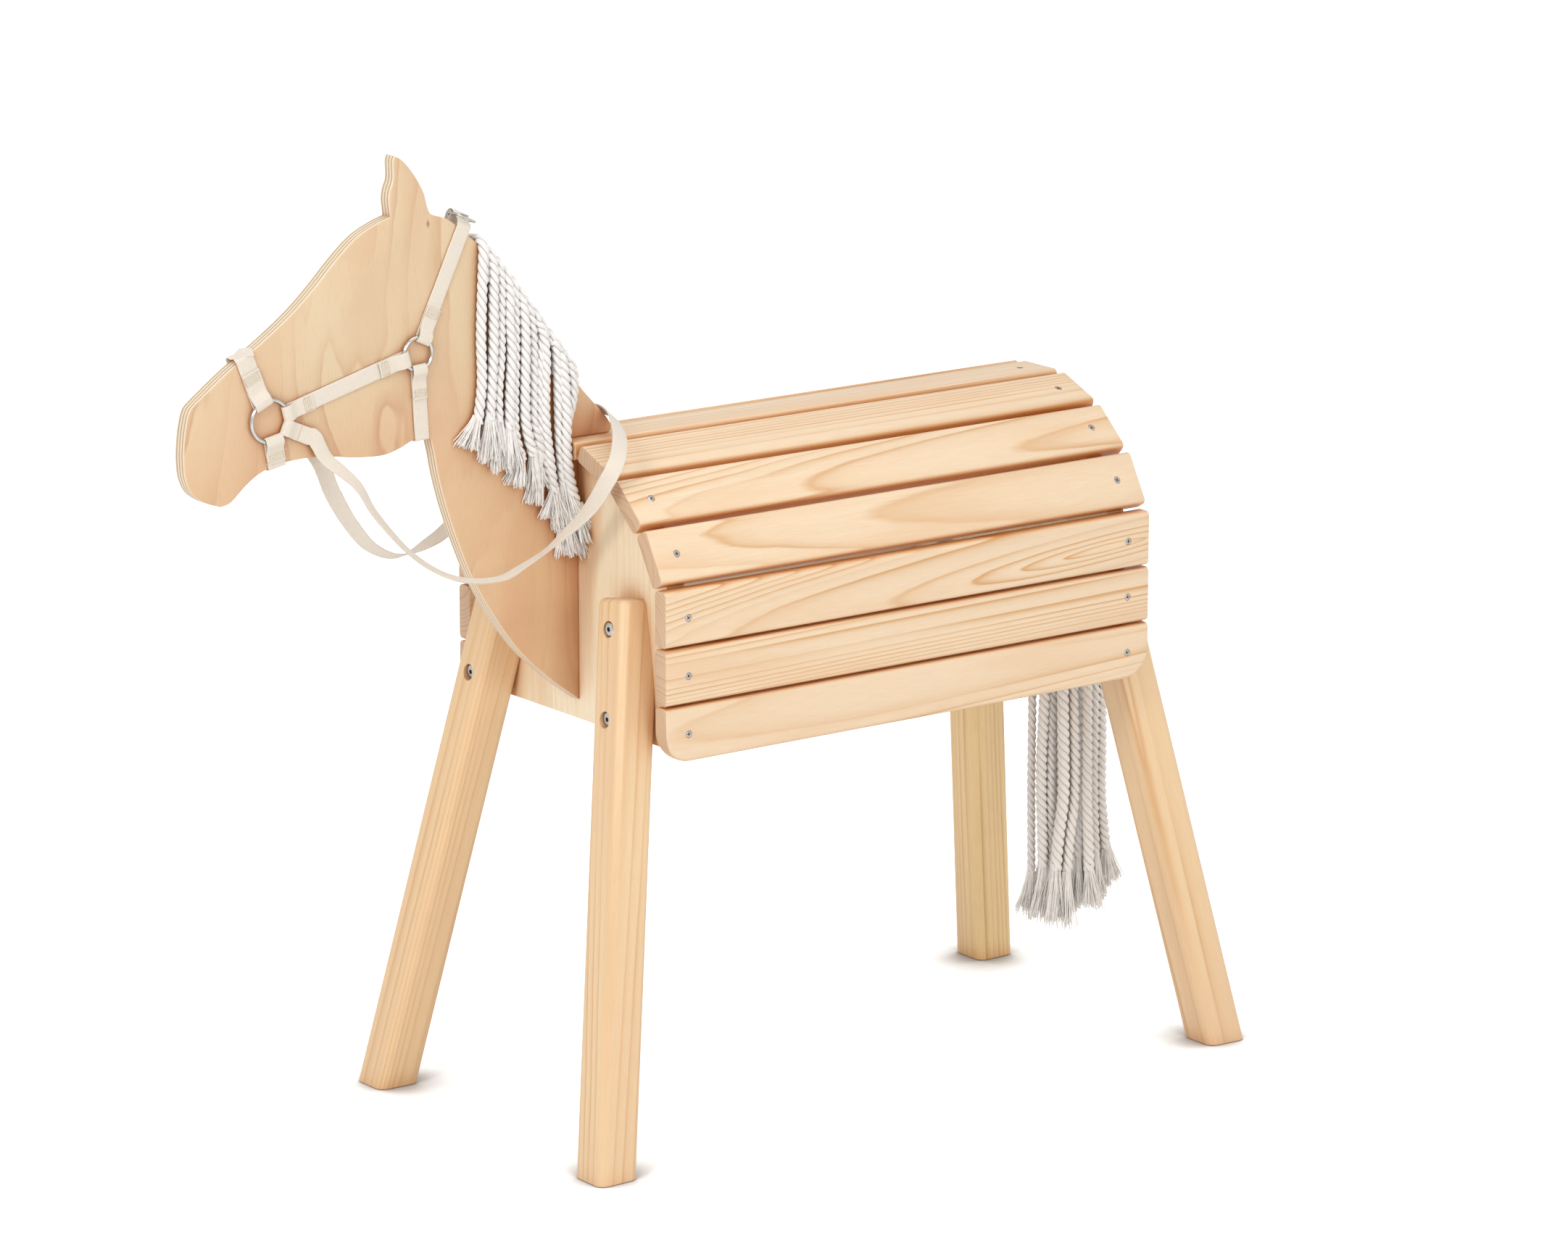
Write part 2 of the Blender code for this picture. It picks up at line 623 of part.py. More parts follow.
def buckle_frame():
    """A rectangle of round wire with rounded corners."""
    path = rounded_rect(2 * BAR_X, FRAME_WIDTH, FRAME_CORNER_R, 3)
    rings = []
    for i, (x, across) in enumerate(path):
        dir_x, dir_across = heading(path[i - 1], path[(i + 1) % len(path)])
        rings.append([put(*crown_point(x + dir_across * out, up, across - dir_x * out))
                      for out, up in circle(BAR_R, 8)])
    skin(rings, "buckle_frame", STEEL, closed=True, smooth=60)


def buckle_prong():
    """Bent round the right bar, its tip lying on the left bar."""
    bend_r = BAR_R + 0.35 + PRONG_R
    path = [(-BAR_X + x, s) for x, s in arc(-95, -175, 7, bend_r)]
    path += [(-6.0, bend_r), (4.0, bend_r), (BAR_X + 1.6, bend_r)]
    rings = []
    for i, (x, s) in enumerate(path):
        dir_x, dir_s = heading(path[max(i - 1, 0)], path[min(i + 1, len(path) - 1)])
        rings.append([put(*crown_point(x - dir_s * out, s + dir_x * out, across))
                      for out, across in circle(PRONG_R, 8)])
    skin(rings, "buckle_prong", STEEL, smooth=60)


def crown():
    tongue_strap()
    buckle_strap()
    buckle_frame()
    buckle_prong()


# --------------------------------------------------------------- reins
REIN_LIFT = 0.6          # rein ends stand off the halter's layers by this
REIN_PIVOT = 57.7        # from the ring's centre to where the rein bends
# Left rein from its swivel by the nose ring, down, round the shoulder and up
# over the slats to the foot of the crest: x, y, z, then width direction x, y, z.
REIN = [(20.0, -350.0, 898.0, 0.1, -0.5, -0.85),
        (31.0, -331.0, 876.0, 0.25, -0.5, -0.8),
        (43.0, -318.0, 857.0, 0.4, -0.5, -0.75),
        (54.0, -303.0, 831.0, 0.6, -0.45, -0.6),
        (66.0, -266.0, 786.0, 0.85, -0.3, -0.4),
        (75.0, -227.0, 748.0, 0.95, -0.1, -0.25),
        (77.0, -184.0, 728.0, 0.985, 0.0, -0.17),
        (73.0, -136.0, 724.0, 0.985, 0.0, -0.17),
        (66.0, -101.0, 732.0, 0.98, 0.1, -0.2),
        (63.0, -62.0, 747.0, 0.9, 0.3, -0.3),
        (73.0, -43.0, 766.0, 0.75, 0.6, -0.4),
        (93.0, -33.0, 787.0, 0.55, 0.8, -0.4),
        (115.0, -28.0, 811.0, 0.35, 0.87, -0.35),
        (135.0, -24.0, 839.0, 0.35, 0.9, -0.25),
        (141.0, -18.0, 855.0, 0.45, 0.88, -0.1),
        (134.0, -6.0, 867.0, 0.5, 0.85, -0.1),
        (118.0, 8.0, 877.0, 0.5, 0.83, -0.2),
        (94.0, 25.0, 884.0, 0.42, 0.83, -0.35),
        (64.0, 42.0, 889.0, 0.25, 0.8, -0.5),
        (35.0, 57.0, 892.0, 0.1, 0.75, -0.65),
        (14.0, 64.0, 894.0, 0.0, 0.7, -0.72),
        (0.0, 64.5, 895.0, 0.0, 0.67, -0.74)]


def rein_ends():
    """A loop on each nose ring, its cut end outside."""
    points = fold(NOSE_RING[2], WEB_WIDTH, 28.0, REIN_LIFT)
    points.append((BASE_X + REIN_LIFT, NOSE_RING[2] + 37.0, WEB_WIDTH))
    strap(REIN_LINE, points, "rein_end_left")
    strap(REIN_LINE, mirrored(points), "rein_end_right")


def long_rein():
    """The long loop: it starts flat against the rein ends and swings there."""
    lap = OUTER_X + REIN_LIFT + WEB_T + 0.5
    wide = line_width_dir(REIN_LINE)
    knots = [on_line(REIN_LINE, x, s) + wide
             for x, s in ((lap, REIN_PIVOT - 10.5), (lap, REIN_PIVOT),
                          (lap + 0.6, REIN_PIVOT + 10.0))]
    half = catmull(knots + REIN, 2)
    full = half + [(-x, y, z, wide_x, -wide_y, -wide_z)
                   for x, y, z, wide_x, wide_y, wide_z in reversed(half[:-1])]
    # neighbouring width directions must agree in sign
    wides = []
    for knot in full:
        wide = Vector(knot[3:]).normalized()
        if wides and wide.dot(wides[-1]) < 0:
            wide = -wide
        wides.append(wide)
    ribbon([knot[:3] for knot in full], wides, [WEB_WIDTH] * len(full), "reins")


# ---------------------------------------------------------------- mane
# the crest as a straight line in the y-z plane, from the poll end down
CREST_TOP = Vector((0.0, *CREST[-1]))
CREST_LOW = Vector((0.0, 23.0, 935.5))
CREST_DIR = (CREST_LOW - CREST_TOP).normalized()
CREST_IN = Vector((0.0, CREST_DIR.z, -CREST_DIR.y))     # into the neck, square to the crest
HINGE_IN = 10.0          # the locks' bend line below the crest's edge
HINGE_X = 18.0           # the bend line's distance from the panel's middle
LOCK_T = 12.0
LOCK_GAP = 1.0           # panel to lock, and lock's top to cap
LOCK_TOP_IN = HINGE_IN - LOCK_T / 2
LOCK_BEVEL = 0.0058      # metres
CAP_Y = (-133.0, 20.0)   # front and rear ends of the cap
CAP_LIFT = 2.2           # the crest's slight bow stays under the cap
CAP_RISE = 11.8
# each lock: name, front and rear y at the crest, front and rear z of its foot,
# front and rear y of its foot; the gaps let one lift without catching the next
LOCKS = [("front", -131.0, -91.0, 858.0, 840.0, -136.0, -93.0),
         ("middle", -83.0, -41.0, 812.0, 778.0, -85.0, -43.0),
         ("rear", -33.0, 14.0, 772.0, 744.0, -35.0, -3.0)]


def crest_at(y, inward):
    """The (y, z) point at this y on the line `inward` below the crest."""
    start = CREST_TOP + CREST_IN * inward
    point = start + CREST_DIR * ((y - start.y) / CREST_DIR.y)
    return point.y, point.z


def mane_cap():
    """The ropes' bends, lying over the edge of the neck."""
    inner = PANEL_T / 2 + GAP
    outer = inner + LOCK_T
    skirt = LOCK_TOP_IN - LOCK_GAP
    # (x, distance into the neck)
    section = [(outer, skirt)]
    section += [(outer * p, -(CAP_LIFT + CAP_RISE * q)) for p, q in arc(0, 180, 8)]
    section += [(-outer, skirt), (-inner, skirt), (-inner, -CAP_LIFT),
                (inner, -CAP_LIFT), (inner, skirt)]
    rings = [[put(*(Vector((x, *crest_at(y, 0.0))) + CREST_IN * inward))
              for x, inward in section] for y in CAP_Y]
    skin(rings, "mane_crest", ROPE)


def round_lock_top(obj, top_points):
    """Round the top edges over so that the lock turns under the cap."""
    bm = bmesh.new()
    bm.from_mesh(obj.data)
    corners = [put(0, *point).yz for point in top_points]

    def at_top(vert):
        return min((vert.co.yz - corner).length for corner in corners) < 1e-5

    tops = [edge for edge in bm.edges
            if at_top(edge.verts[0]) and at_top(edge.verts[1])
            and abs(edge.verts[0].co.y - edge.verts[1].co.y) > 1e-3]
    bmesh.ops.bevel(bm, geom=tops, offset=LOCK_BEVEL, segments=3, profile=0.5,
                    affect='EDGES', clamp_overlap=True)
    bmesh.ops.recalc_face_normals(bm, faces=bm.faces)
    bm.to_mesh(obj.data)
    bm.free()


def mane_lock(spec, side, side_name):
    lock_name, front_y, rear_y, front_z, rear_z, foot_front, foot_rear = spec
    tops = [crest_at(front_y, LOCK_TOP_IN), crest_at(rear_y, LOCK_TOP_IN)]
    outline = list(tops)
    if lock_name == "rear":
        # its rear edge is cut forward above the slats
        outline += [crest_at(12.0, HINGE_IN + 20), (-3.0, 871.0)]
    outline += [(foot_rear, rear_z),
                ((foot_front + foot_rear) / 2, (front_z + rear_z) / 2 - 3),
                (foot_front, front_z)]
    inner = PANEL_T / 2 + LOCK_GAP
    obj = plate_x(outline, side * inner, side * (inner + LOCK_T),
                  "mane_lock_%s_%s" % (side_name, lock_name), ROPE)
    round_lock_top(obj, tops)


def mane():
    mane_cap()
    for spec in LOCKS:
        for side, side_name in SIDES:
            mane_lock(spec, side, side_name)


# ---------------------------------------------------------------- tail
TAIL_HOLE_Z = 786.0
TAIL_HOLE_R = 13.0
TAIL_FACE = SLAT_LEN - BULK_SET          # the rear bulkhead's outer face
TAIL_PIVOT = (770.0, TAIL_HOLE_Z)        # y, z of the bend under the knot
# the hanging bundle, bowed back over the ends of the slats: y, z, half width
# in x, half depth in y
TAIL_STATIONS = [
    (788.0, 768.0, 22.0, 17.0), (796.0, 752.0, 33.0, 23.0), (803.0, 725.0, 43.0, 33.0),
    (806.0, 680.0, 52.0, 42.0), (808.0, 600.0, 55.0, 47.0), (808.0, 430.0, 56.0, 48.0),
    (808.0, 300.0, 56.0, 48.0), (808.0, 210.0, 58.0, 50.0), (808.0, 150.0, 64.0, 55.0),
    (808.0, 118.0, 62.0, 52.0)]
TAIL_TILT = 0.35         # rise per unit of y of the upper stations
TAIL_TILT_ABOVE = 720.0


def tail_knot(rear):
    """Cord through the bulkhead, a stopper inside and the knot outside."""
    inside = TAIL_FACE - BULK_T
    cut(rear, turned_y([(TAIL_HOLE_R, inside - 10), (TAIL_HOLE_R, TAIL_FACE + 10)],
                       0.0, TAIL_HOLE_Z, "tail_hole", ROPE, 24))
    cord_r = TAIL_HOLE_R - 1.0
    turned_y([(19.0, inside - 13.0), (21.0, inside - 11), (21.0, inside - 3),
              (19.0, inside - 0.6), (cord_r, inside - 0.6), (cord_r, TAIL_FACE + 3.0),
              (17.0, TAIL_FACE + 7.0), (20.0, TAIL_FACE + 12.0),
              (20.0, TAIL_FACE + 20.0), (14.0, TAIL_FACE + 26.0)],
             0.0, TAIL_HOLE_Z, "tail_knot", TAIL_ROPE, 16)


def tail_ropes():
    rings = []
    for y, z, half_x, half_y in TAIL_STATIONS:
        tilt = TAIL_TILT if z > TAIL_TILT_ABOVE else 0.0
        rings.append([put(half_x * p, y + half_y * q, z + tilt * half_y * q)
                      for p, q in circle(1.0, 16)])
    skin(rings, "tail_ropes", TAIL_ROPE, smooth=60)


# ------------------------------------------------------------- origins
def moving_origins():
    """Body-frame origins of the moving pieces, on their joints' axes."""
    origins = {"reins": on_line(REIN_LINE, 0.0, REIN_PIVOT),
               "buckle_prong": crown_point(-BAR_X, 0.0),
               "tail_knot": (0.0, TAIL_FACE, TAIL_HOLE_Z),
               "tail_ropes": (0.0, *TAIL_PIVOT)}
    for side, side_name in SIDES:
        origins["nose_ring_" + side_name] = (side * RING_X, *NOSE_RING[:2])
        origins["cheek_ring_" + side_name] = (side * RING_X, *CHEEK_RING[:2])
        for lock_name, front_y, rear_y, *_ in LOCKS:
            origins["mane_lock_%s_%s" % (side_name, lock_name)] = (
                side * HINGE_X, *crest_at((front_y + rear_y) / 2, HINGE_IN))
    return origins


def place_origins():
    """Moving pieces turn about their joints; the rest about their box centres."""
    origins = moving_origins()
    for obj in list(bpy.data.objects):
        if obj.name in origins:
            origin = put(*origins[obj.name])
        else:
            box = [Vector(corner) for corner in obj.bound_box]
            origin = (box[0] + box[6]) / 2
        for vert in obj.data.vertices:
            vert.co -= origin
        obj.location = origin


def build():
    body_slats()
    front, rear = bulkheads()
    legs(front, rear)
    outline = panel_outline()
    head_panel(outline, front)
    halter(outline)
    crown()
    rein_ends()
    long_rein()
    mane()
    tail_knot(rear)
    tail_ropes()
    place_origins()


build()
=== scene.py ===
# A slatted play horse: a rounded back of pine slats on four leaning legs, a plywood
# head and neck, a rope mane and tail, and a webbing halter with reins.
# Lengths are millimetres in the body's own frame: the horse faces -Y, its left side
# is +X, z is up and y = 0 lies at the slats' front ends.  put() turns a point into
# the scene's frame, in metres.  Shader lengths are metres unless a note says otherwise.
import bpy
import bmesh
import math
import random
import numpy as np
from mathutils import Vector, Matrix


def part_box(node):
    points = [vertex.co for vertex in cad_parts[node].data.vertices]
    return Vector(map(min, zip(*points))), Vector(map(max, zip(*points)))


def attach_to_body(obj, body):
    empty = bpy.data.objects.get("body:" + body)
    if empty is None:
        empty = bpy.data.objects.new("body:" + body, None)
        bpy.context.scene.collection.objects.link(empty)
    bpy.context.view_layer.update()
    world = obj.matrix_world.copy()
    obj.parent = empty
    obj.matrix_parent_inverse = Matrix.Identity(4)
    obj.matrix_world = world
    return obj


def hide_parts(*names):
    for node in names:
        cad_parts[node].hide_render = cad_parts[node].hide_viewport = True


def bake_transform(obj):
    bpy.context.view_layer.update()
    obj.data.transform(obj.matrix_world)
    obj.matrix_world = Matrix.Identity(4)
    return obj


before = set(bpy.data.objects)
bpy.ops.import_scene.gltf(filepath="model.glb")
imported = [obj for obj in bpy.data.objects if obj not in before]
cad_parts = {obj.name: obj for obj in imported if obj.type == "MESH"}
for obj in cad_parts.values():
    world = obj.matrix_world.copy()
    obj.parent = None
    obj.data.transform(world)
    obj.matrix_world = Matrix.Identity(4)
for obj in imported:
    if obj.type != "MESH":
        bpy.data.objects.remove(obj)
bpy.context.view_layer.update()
MM = 0.001
Y_MID = 174.2                         # the scene's y = 0
HEAD_HALF = 10.5                      # half the head board's thickness


def put(x, y, z):
    return Vector((x * MM, (y - Y_MID) * MM, z * MM))


# ===================================================================== shaders
class Value:
    """A node's output; arithmetic on it makes Math nodes."""

    def __init__(self, shader, socket):
        self.shader = shader
        self.socket = socket

    def math(self, operation, *operands, clamp=False):
        inputs = dict(enumerate((self, *(operands or (0.0,)))))
        return self.shader.value("Math", inputs, operation=operation, use_clamp=clamp)

    def __add__(self, other):
        return self.math('ADD', other)

    def __sub__(self, other):
        return self.math('SUBTRACT', other)

    def __mul__(self, other):
        return self.math('MULTIPLY', other)

    def __pow__(self, other):
        return self.math('POWER', other)

    def times(self, factor, plus):
        return self.math('MULTIPLY_ADD', factor, plus)

    def times_clamped(self, factor):
        return self.math('MULTIPLY', factor, clamp=True)

    def size(self):
        return self.math('ABSOLUTE')

    def dot(self, axis):
        return self.shader.value("VectorMath", {0: self, 1: axis}, "Value",
                                 operation='DOT_PRODUCT')

    def split(self):
        node = self.shader.node("SeparateXYZ", {0: self})
        return [Value(self.shader, out) for out in node.outputs]

    def smooth(self, over, to):
        """Ease from to[0] to to[1] as the value crosses the range over."""
        return self.shader.value("MapRange", dict(enumerate((self, *over, *to))),
                                 interpolation_type='SMOOTHSTEP')


class Shader:
    """A Principled material and the nodes that feed it."""

    def __init__(self, name, rough=0.5, metallic=0.0, specular=0.5):
        self.material = bpy.data.materials.new(name)
        self.material.use_nodes = True
        self.tree = self.material.node_tree
        self.surface = self.tree.nodes["Principled BSDF"]
        self.set("Roughness", rough)
        self.set("Metallic", metallic)
        self.set("Specular IOR Level", specular)
        coords = self.node("TexCoord")
        self.object, self.normal, self.uv = (Value(self, coords.outputs[name])
                                             for name in ("Object", "Normal", "UV"))

    def feed(self, socket, value):
        if isinstance(value, Value):
            self.tree.links.new(value.socket, socket)
        elif socket.type == 'RGBA':
            socket.default_value = (*value, 1.0)
        else:
            socket.default_value = value

    def set(self, name, value):
        self.feed(self.surface.inputs[name], value)

    def node(self, kind, inputs=None, **settings):
        node = self.tree.nodes.new("ShaderNode" + kind)
        for name, value in settings.items():
            setattr(node, name, value)
        for key, value in (inputs or {}).items():
            self.feed(node.inputs[key], value)
        return node

    def value(self, kind, inputs=None, output=0, **settings):
        return Value(self, self.node(kind, inputs, **settings).outputs[output])

    def noise(self, at, scale=1.0, detail=2.0, rough=0.5, warp=0.0):
        """Noise at a vector, or at three coordinates."""
        if isinstance(at, tuple):
            at = self.value("CombineXYZ", dict(enumerate(at)))
        inputs = {"Vector": at, "Scale": scale, "Detail": detail,
                  "Roughness": rough, "Distortion": warp}
        return self.value("TexNoise", inputs, "Fac")

    def ramp(self, factor, stops):
        """Grey levels at (position, level) stops."""
        node = self.node("ValToRGB", {0: factor})
        elements = node.color_ramp.elements
        while len(elements) > 1:
            elements.remove(elements[-1])
        for i, (position, level) in enumerate(stops):
            element = elements[0] if i == 0 else elements.new(position)
            element.position = position
            element.color = (level, level, level, 1.0)
        return Value(self, node.outputs[0])

    def mix(self, factor, first, second, blend='MIX'):
        return self.value("Mix", {0: factor, 6: first, 7: second}, 2,
                          data_type='RGBA', blend_type=blend)

    def stain(self, colour, mask, over, amount, tint, blend='MIX'):
        """Bring in a tint by an amount eased over a range of the mask."""
        return self.mix(mask.smooth(over, amount), colour, tint, blend)

    def openness(self, distance, samples=4):
        return self.value("AmbientOcclusion", {"Distance": distance}, "AO", samples=samples)

    def painted_nook_shade(self, colour, distance, tint, amount, over=(0.25, 0.95)):
        """Painted shade: deeper colour where other surfaces close in."""
        return self.stain(colour, self.openness(distance), over, (amount, 0.0), tint,
                          'MULTIPLY')

    def finish(self, colour, rough=None, height=None, depth=0.0):
        """Connect the surface; height is a relief, depth metres deep."""
        self.set("Base Color", colour)
        if rough:
            self.set("Roughness", rough)
        if height:
            inputs = {"Distance": depth, "Strength": 1.0, "Height": height}
            self.set("Normal", self.value("Bump", inputs))
        return self.material


EARLY_WOOD = (0.800, 0.622, 0.430)
LATE_WOOD = (0.625, 0.345, 0.145)
END_WOOD = (0.640, 0.440, 0.285)
# (place in a ring's width, darkness)
RING_STOPS = [(0.0, 0.55), (0.05, 0.04), (0.30, 0.0), (0.62, 0.16),
              (0.85, 0.52), (0.955, 1.0), (1.0, 0.55)]


def pine(name, centre, grain, width, seed, pith, spacing, tilt, contrast,
         light=EARLY_WOOD, dark=LATE_WOOD, warp=1.0, edge=0.9, painted_nook_shade=0.85):
    """Softwood: growth rings round a leaning pith, cut by the board, so that faces
    show figure and ends show arcs.

    grain and width are directions.  pith (across, deep) and spacing are mm; tilt is
    the pith's lean in the same two directions.  edge and painted_nook_shade set the painted shade
    on the side edges and in the corners."""
    wood = Shader(name, rough=0.48)
    grain = Vector(grain).normalized()
    width = Vector(width)
    width = (width - grain * width.dot(grain)).normalized()
    place = wood.value("VectorMath", {0: wood.object, 1: centre}, operation='SUBTRACT')
    along, across, deep = (place.dot(axis) for axis in (grain, width, grain.cross(width)))

    def streaks(lengthwise, around, shift, detail):
        return wood.noise((along.times(lengthwise, plus=shift), across * around,
                           deep * around), detail=detail)

    broad = streaks(lengthwise=2.1, around=9.0, shift=seed * 7.31, detail=1.0)
    fine = streaks(lengthwise=9.0, around=60.0, shift=seed * 3.7, detail=2.0)
    wobble = (broad - 0.5) * (0.0130 * warp) + (fine - 0.5) * (0.0030 * warp)
    from_pith = along.times(tilt[0], plus=-pith[0] * MM) + across
    below_pith = along.times(tilt[1], plus=-pith[1] * MM) + deep + wobble
    radius = (from_pith * from_pith + below_pith * below_pith).math('SQRT')
    phase = radius * (1000.0 / spacing)
    phase = phase + (phase * 0.71).math('SINE')
    ring = wood.ramp(phase.math('FRACT'), RING_STOPS)
    # rings fade in and out along and across the board
    strength = wood.noise((along.times(2.0, plus=seed * 1.9), phase * 0.9, seed), detail=1.0)
    ring = ring * strength.smooth(over=(0.30, 0.68), to=(0.30, 1.30))
    colour = wood.mix(ring.times_clamped(contrast), light, dark)
    # broad warm drifts
    drift = wood.noise((along.times(2.6, plus=seed * 5.1), across * 22.0, deep), detail=1.0)
    colour = wood.stain(colour, drift, over=(0.45, 0.72), amount=(0.0, 0.48),
                        tint=(0.745, 0.490, 0.290))
    # fibres, and short resin flecks
    fibre = wood.noise((along * 30.0, across * 1100.0, deep * 1100.0), rough=0.6)
    colour = wood.stain(colour, fibre, over=(0.35, 0.65), amount=(0.16, 0.0),
                        tint=(0.55, 0.33, 0.17))
    fleck = streaks(lengthwise=90.0, around=800.0, shift=seed, detail=1.0)
    colour = wood.stain(colour, fleck, over=(0.76, 0.84), amount=(0.0, 0.45),
                        tint=(0.42, 0.22, 0.10))
    # end grain is greyer and darker
    on_end = wood.normal.dot(grain).size().smooth(over=(0.60, 0.92), to=(0.0, 1.0))
    pore = wood.noise(wood.object, scale=1500.0)
    end = wood.mix(ring.times_clamped(0.55), END_WOOD, (0.36, 0.20, 0.12))
    end = wood.stain(end, pore, over=(0.4, 0.7), amount=(0.0, 0.25), tint=(0.40, 0.25, 0.16))
    colour = wood.mix(on_end, colour, end)
    # painted shade: faces turned across the width, the side edges, are darkened and warmed
    colour = wood.stain(colour, wood.normal.dot(width).size(), over=(0.45, 0.95),
                        amount=(0.0, edge), tint=(0.92, 0.74, 0.55), blend='MULTIPLY')
    # painted shade: corners and gaps where other surfaces close in are darkened and warmed
    colour = wood.painted_nook_shade(colour, distance=0.030, tint=(0.84, 0.52, 0.29), amount=painted_nook_shade)
    return wood.finish(colour, rough=fibre * 0.14 + on_end.times(0.2, plus=0.31),
                       height=fibre * 0.6 + ring * -0.4, depth=0.00006)


PLIES = 7
KNOT = put(0.0, -195.0, 1156.5)


def ply_layers(board, across):
    """0 in the pale plies and 1 in the brown ones, through the thickness."""
    stops = [(0.0, 0.0)]
    for k in range(PLIES):
        brown = k % 2
        inset = 0.20 if brown else -0.02
        stops += [((k + inset) / PLIES, float(brown)), ((k + 1 - inset) / PLIES, float(brown))]
    half = HEAD_HALF * MM
    return board.ramp((across + half) * (0.5 / half), stops)


def birch_ply():
    """Rotary-cut birch face with a faint figure, and a layered edge."""
    board = Shader("birch_ply_visual", rough=0.45)
    x, y, z = board.object.split()

    def figure(lengthwise, upward, shift, **look):
        return board.noise((y * lengthwise, z * upward, shift), **look)

    broad = figure(lengthwise=4.5, upward=1.7, shift=0.0, rough=0.55, warp=0.4)
    fine = figure(lengthwise=26.0, upward=5.0, shift=3.0, detail=3.0)
    phase = y * 21.0 + broad * 7.5
    phase = phase + fine * 1.1
    band = board.ramp(phase.math('FRACT'), [(0.0, 0.0), (0.55, 0.10), (0.84, 0.62),
                                            (0.93, 1.0), (1.0, 0.0)])
    strength = figure(lengthwise=6.0, upward=3.0, shift=9.0, detail=1.0)
    band = band * strength.smooth(over=(0.34, 0.66), to=(0.20, 1.25))
    colour = board.mix(band.times_clamped(0.80), (0.700, 0.545, 0.352), (0.565, 0.360, 0.205))
    cloud = figure(lengthwise=9.0, upward=2.2, shift=5.0)
    colour = board.stain(colour, cloud, over=(0.42, 0.72), amount=(0.0, 0.62),
                         tint=(0.655, 0.430, 0.265))
    fibre = board.noise((0.0, y * 900.0, z * 55.0))
    colour = board.stain(colour, fibre, over=(0.50, 0.72), amount=(0.0, 0.20),
                         tint=(0.52, 0.32, 0.18))
    # one small knot below the ear
    off_y = y - KNOT.y
    off_z = (z - KNOT.z) * 0.45
    radius = (off_y * off_y + off_z * off_z).math('SQRT')
    radius = radius + (board.noise(board.object, scale=600.0) - 0.5) * 0.0012
    colour = board.stain(colour, radius, over=(0.0006, 0.0035), amount=(0.75, 0.0),
                         tint=(0.46, 0.20, 0.09))
    colour = board.stain(colour, radius, over=(0.0003, 0.0012), amount=(0.85, 0.0),
                         tint=(0.16, 0.06, 0.03))
    # the edge's plies, with small dark voids in the brown ones
    waver = figure(lengthwise=40.0, upward=40.0, shift=2.0)
    layer = ply_layers(board, x + (waver - 0.5) * 0.00018)
    grit = board.noise((x * 900.0, y * 260.0, z * 260.0), detail=3.0)
    pale = board.stain((0.800, 0.680, 0.505), grit, over=(0.35, 0.7), amount=(0.0, 0.22),
                       tint=(0.66, 0.50, 0.34))
    brown = board.stain((0.520, 0.370, 0.235), grit, over=(0.3, 0.7), amount=(0.0, 0.5),
                        tint=(0.36, 0.23, 0.14))
    edge = board.mix(layer, pale, brown)
    void = board.noise((x * 330.0, y * 16.0, z * 16.0), detail=1.0)
    void = void.smooth(over=(0.735, 0.765), to=(0.0, 0.85)) * layer
    edge = board.mix(void, edge, (0.09, 0.04, 0.03))
    on_edge = board.normal.split()[0].size().smooth(over=(0.45, 0.80), to=(1.0, 0.0))
    colour = board.mix(on_edge, colour, edge)
    # the board turns redder towards the shoulder
    # painted shade: the board is darkened and warmed towards the shoulder, standing in for the warm
    # shade there
    low = board.object.split()[2].smooth(over=(1.03, 0.84), to=(0.0, 1.0))
    colour = board.mix(low * on_edge.times(-0.75, plus=1.0), colour,
                       (0.965, 0.825, 0.745), 'MULTIPLY')
    # painted shade: the board is darkened and warmed where the mane and other parts close in
    colour = board.painted_nook_shade(colour, distance=0.050, tint=(0.78, 0.46, 0.27), amount=0.95,
                        over=(0.22, 0.98))
    return board.finish(colour, rough=fibre.times(0.15, plus=0.36),
                        height=fibre * -0.5, depth=0.00006)


RIB_WIDTH, RIB_REPEAT = 1.15, 1.9     # the weave's columns and the picks along them


def webbing():
    """Plain woven cotton tape; the UVs are millimetres across and along."""
    shade = (0.590, 0.500, 0.400)
    cloth = Shader("webbing_visual", rough=0.9, specular=0.15)
    across, along, _ = cloth.uv.split()
    column = across * (1.0 / RIB_WIDTH)
    parity = column.math('FLOOR').math('MODULO', 2.0) * math.pi
    rib = (along * (2 * math.pi / RIB_REPEAT) + parity).math('SINE').times(0.5, plus=0.5)
    crown = (column * math.pi).math('SINE').size()
    weave = rib ** 0.7 * crown ** 0.5
    fuzz = cloth.noise((across * 2.2, along * 1.1, 0.0), detail=3.0)
    slub = cloth.noise((across * 0.1, along * 0.55, 4.0))
    colour = cloth.stain((0.845, 0.770, 0.672), weave, over=(0.15, 0.75),
                         amount=(0.62, 0.0), tint=shade)
    colour = cloth.stain(colour, fuzz, over=(0.45, 0.75), amount=(0.0, 0.25), tint=shade)
    colour = cloth.stain(colour, slub, over=(0.5, 0.75), amount=(0.0, 0.16), tint=shade)
    cloth.set("Sheen Weight", 0.25)
    cloth.set("Sheen Roughness", 0.5)
    return cloth.finish(colour, height=fuzz.times(0.35, plus=weave), depth=0.00022)


YARNS_ROUND = 26.0                    # yarn lines round a rope


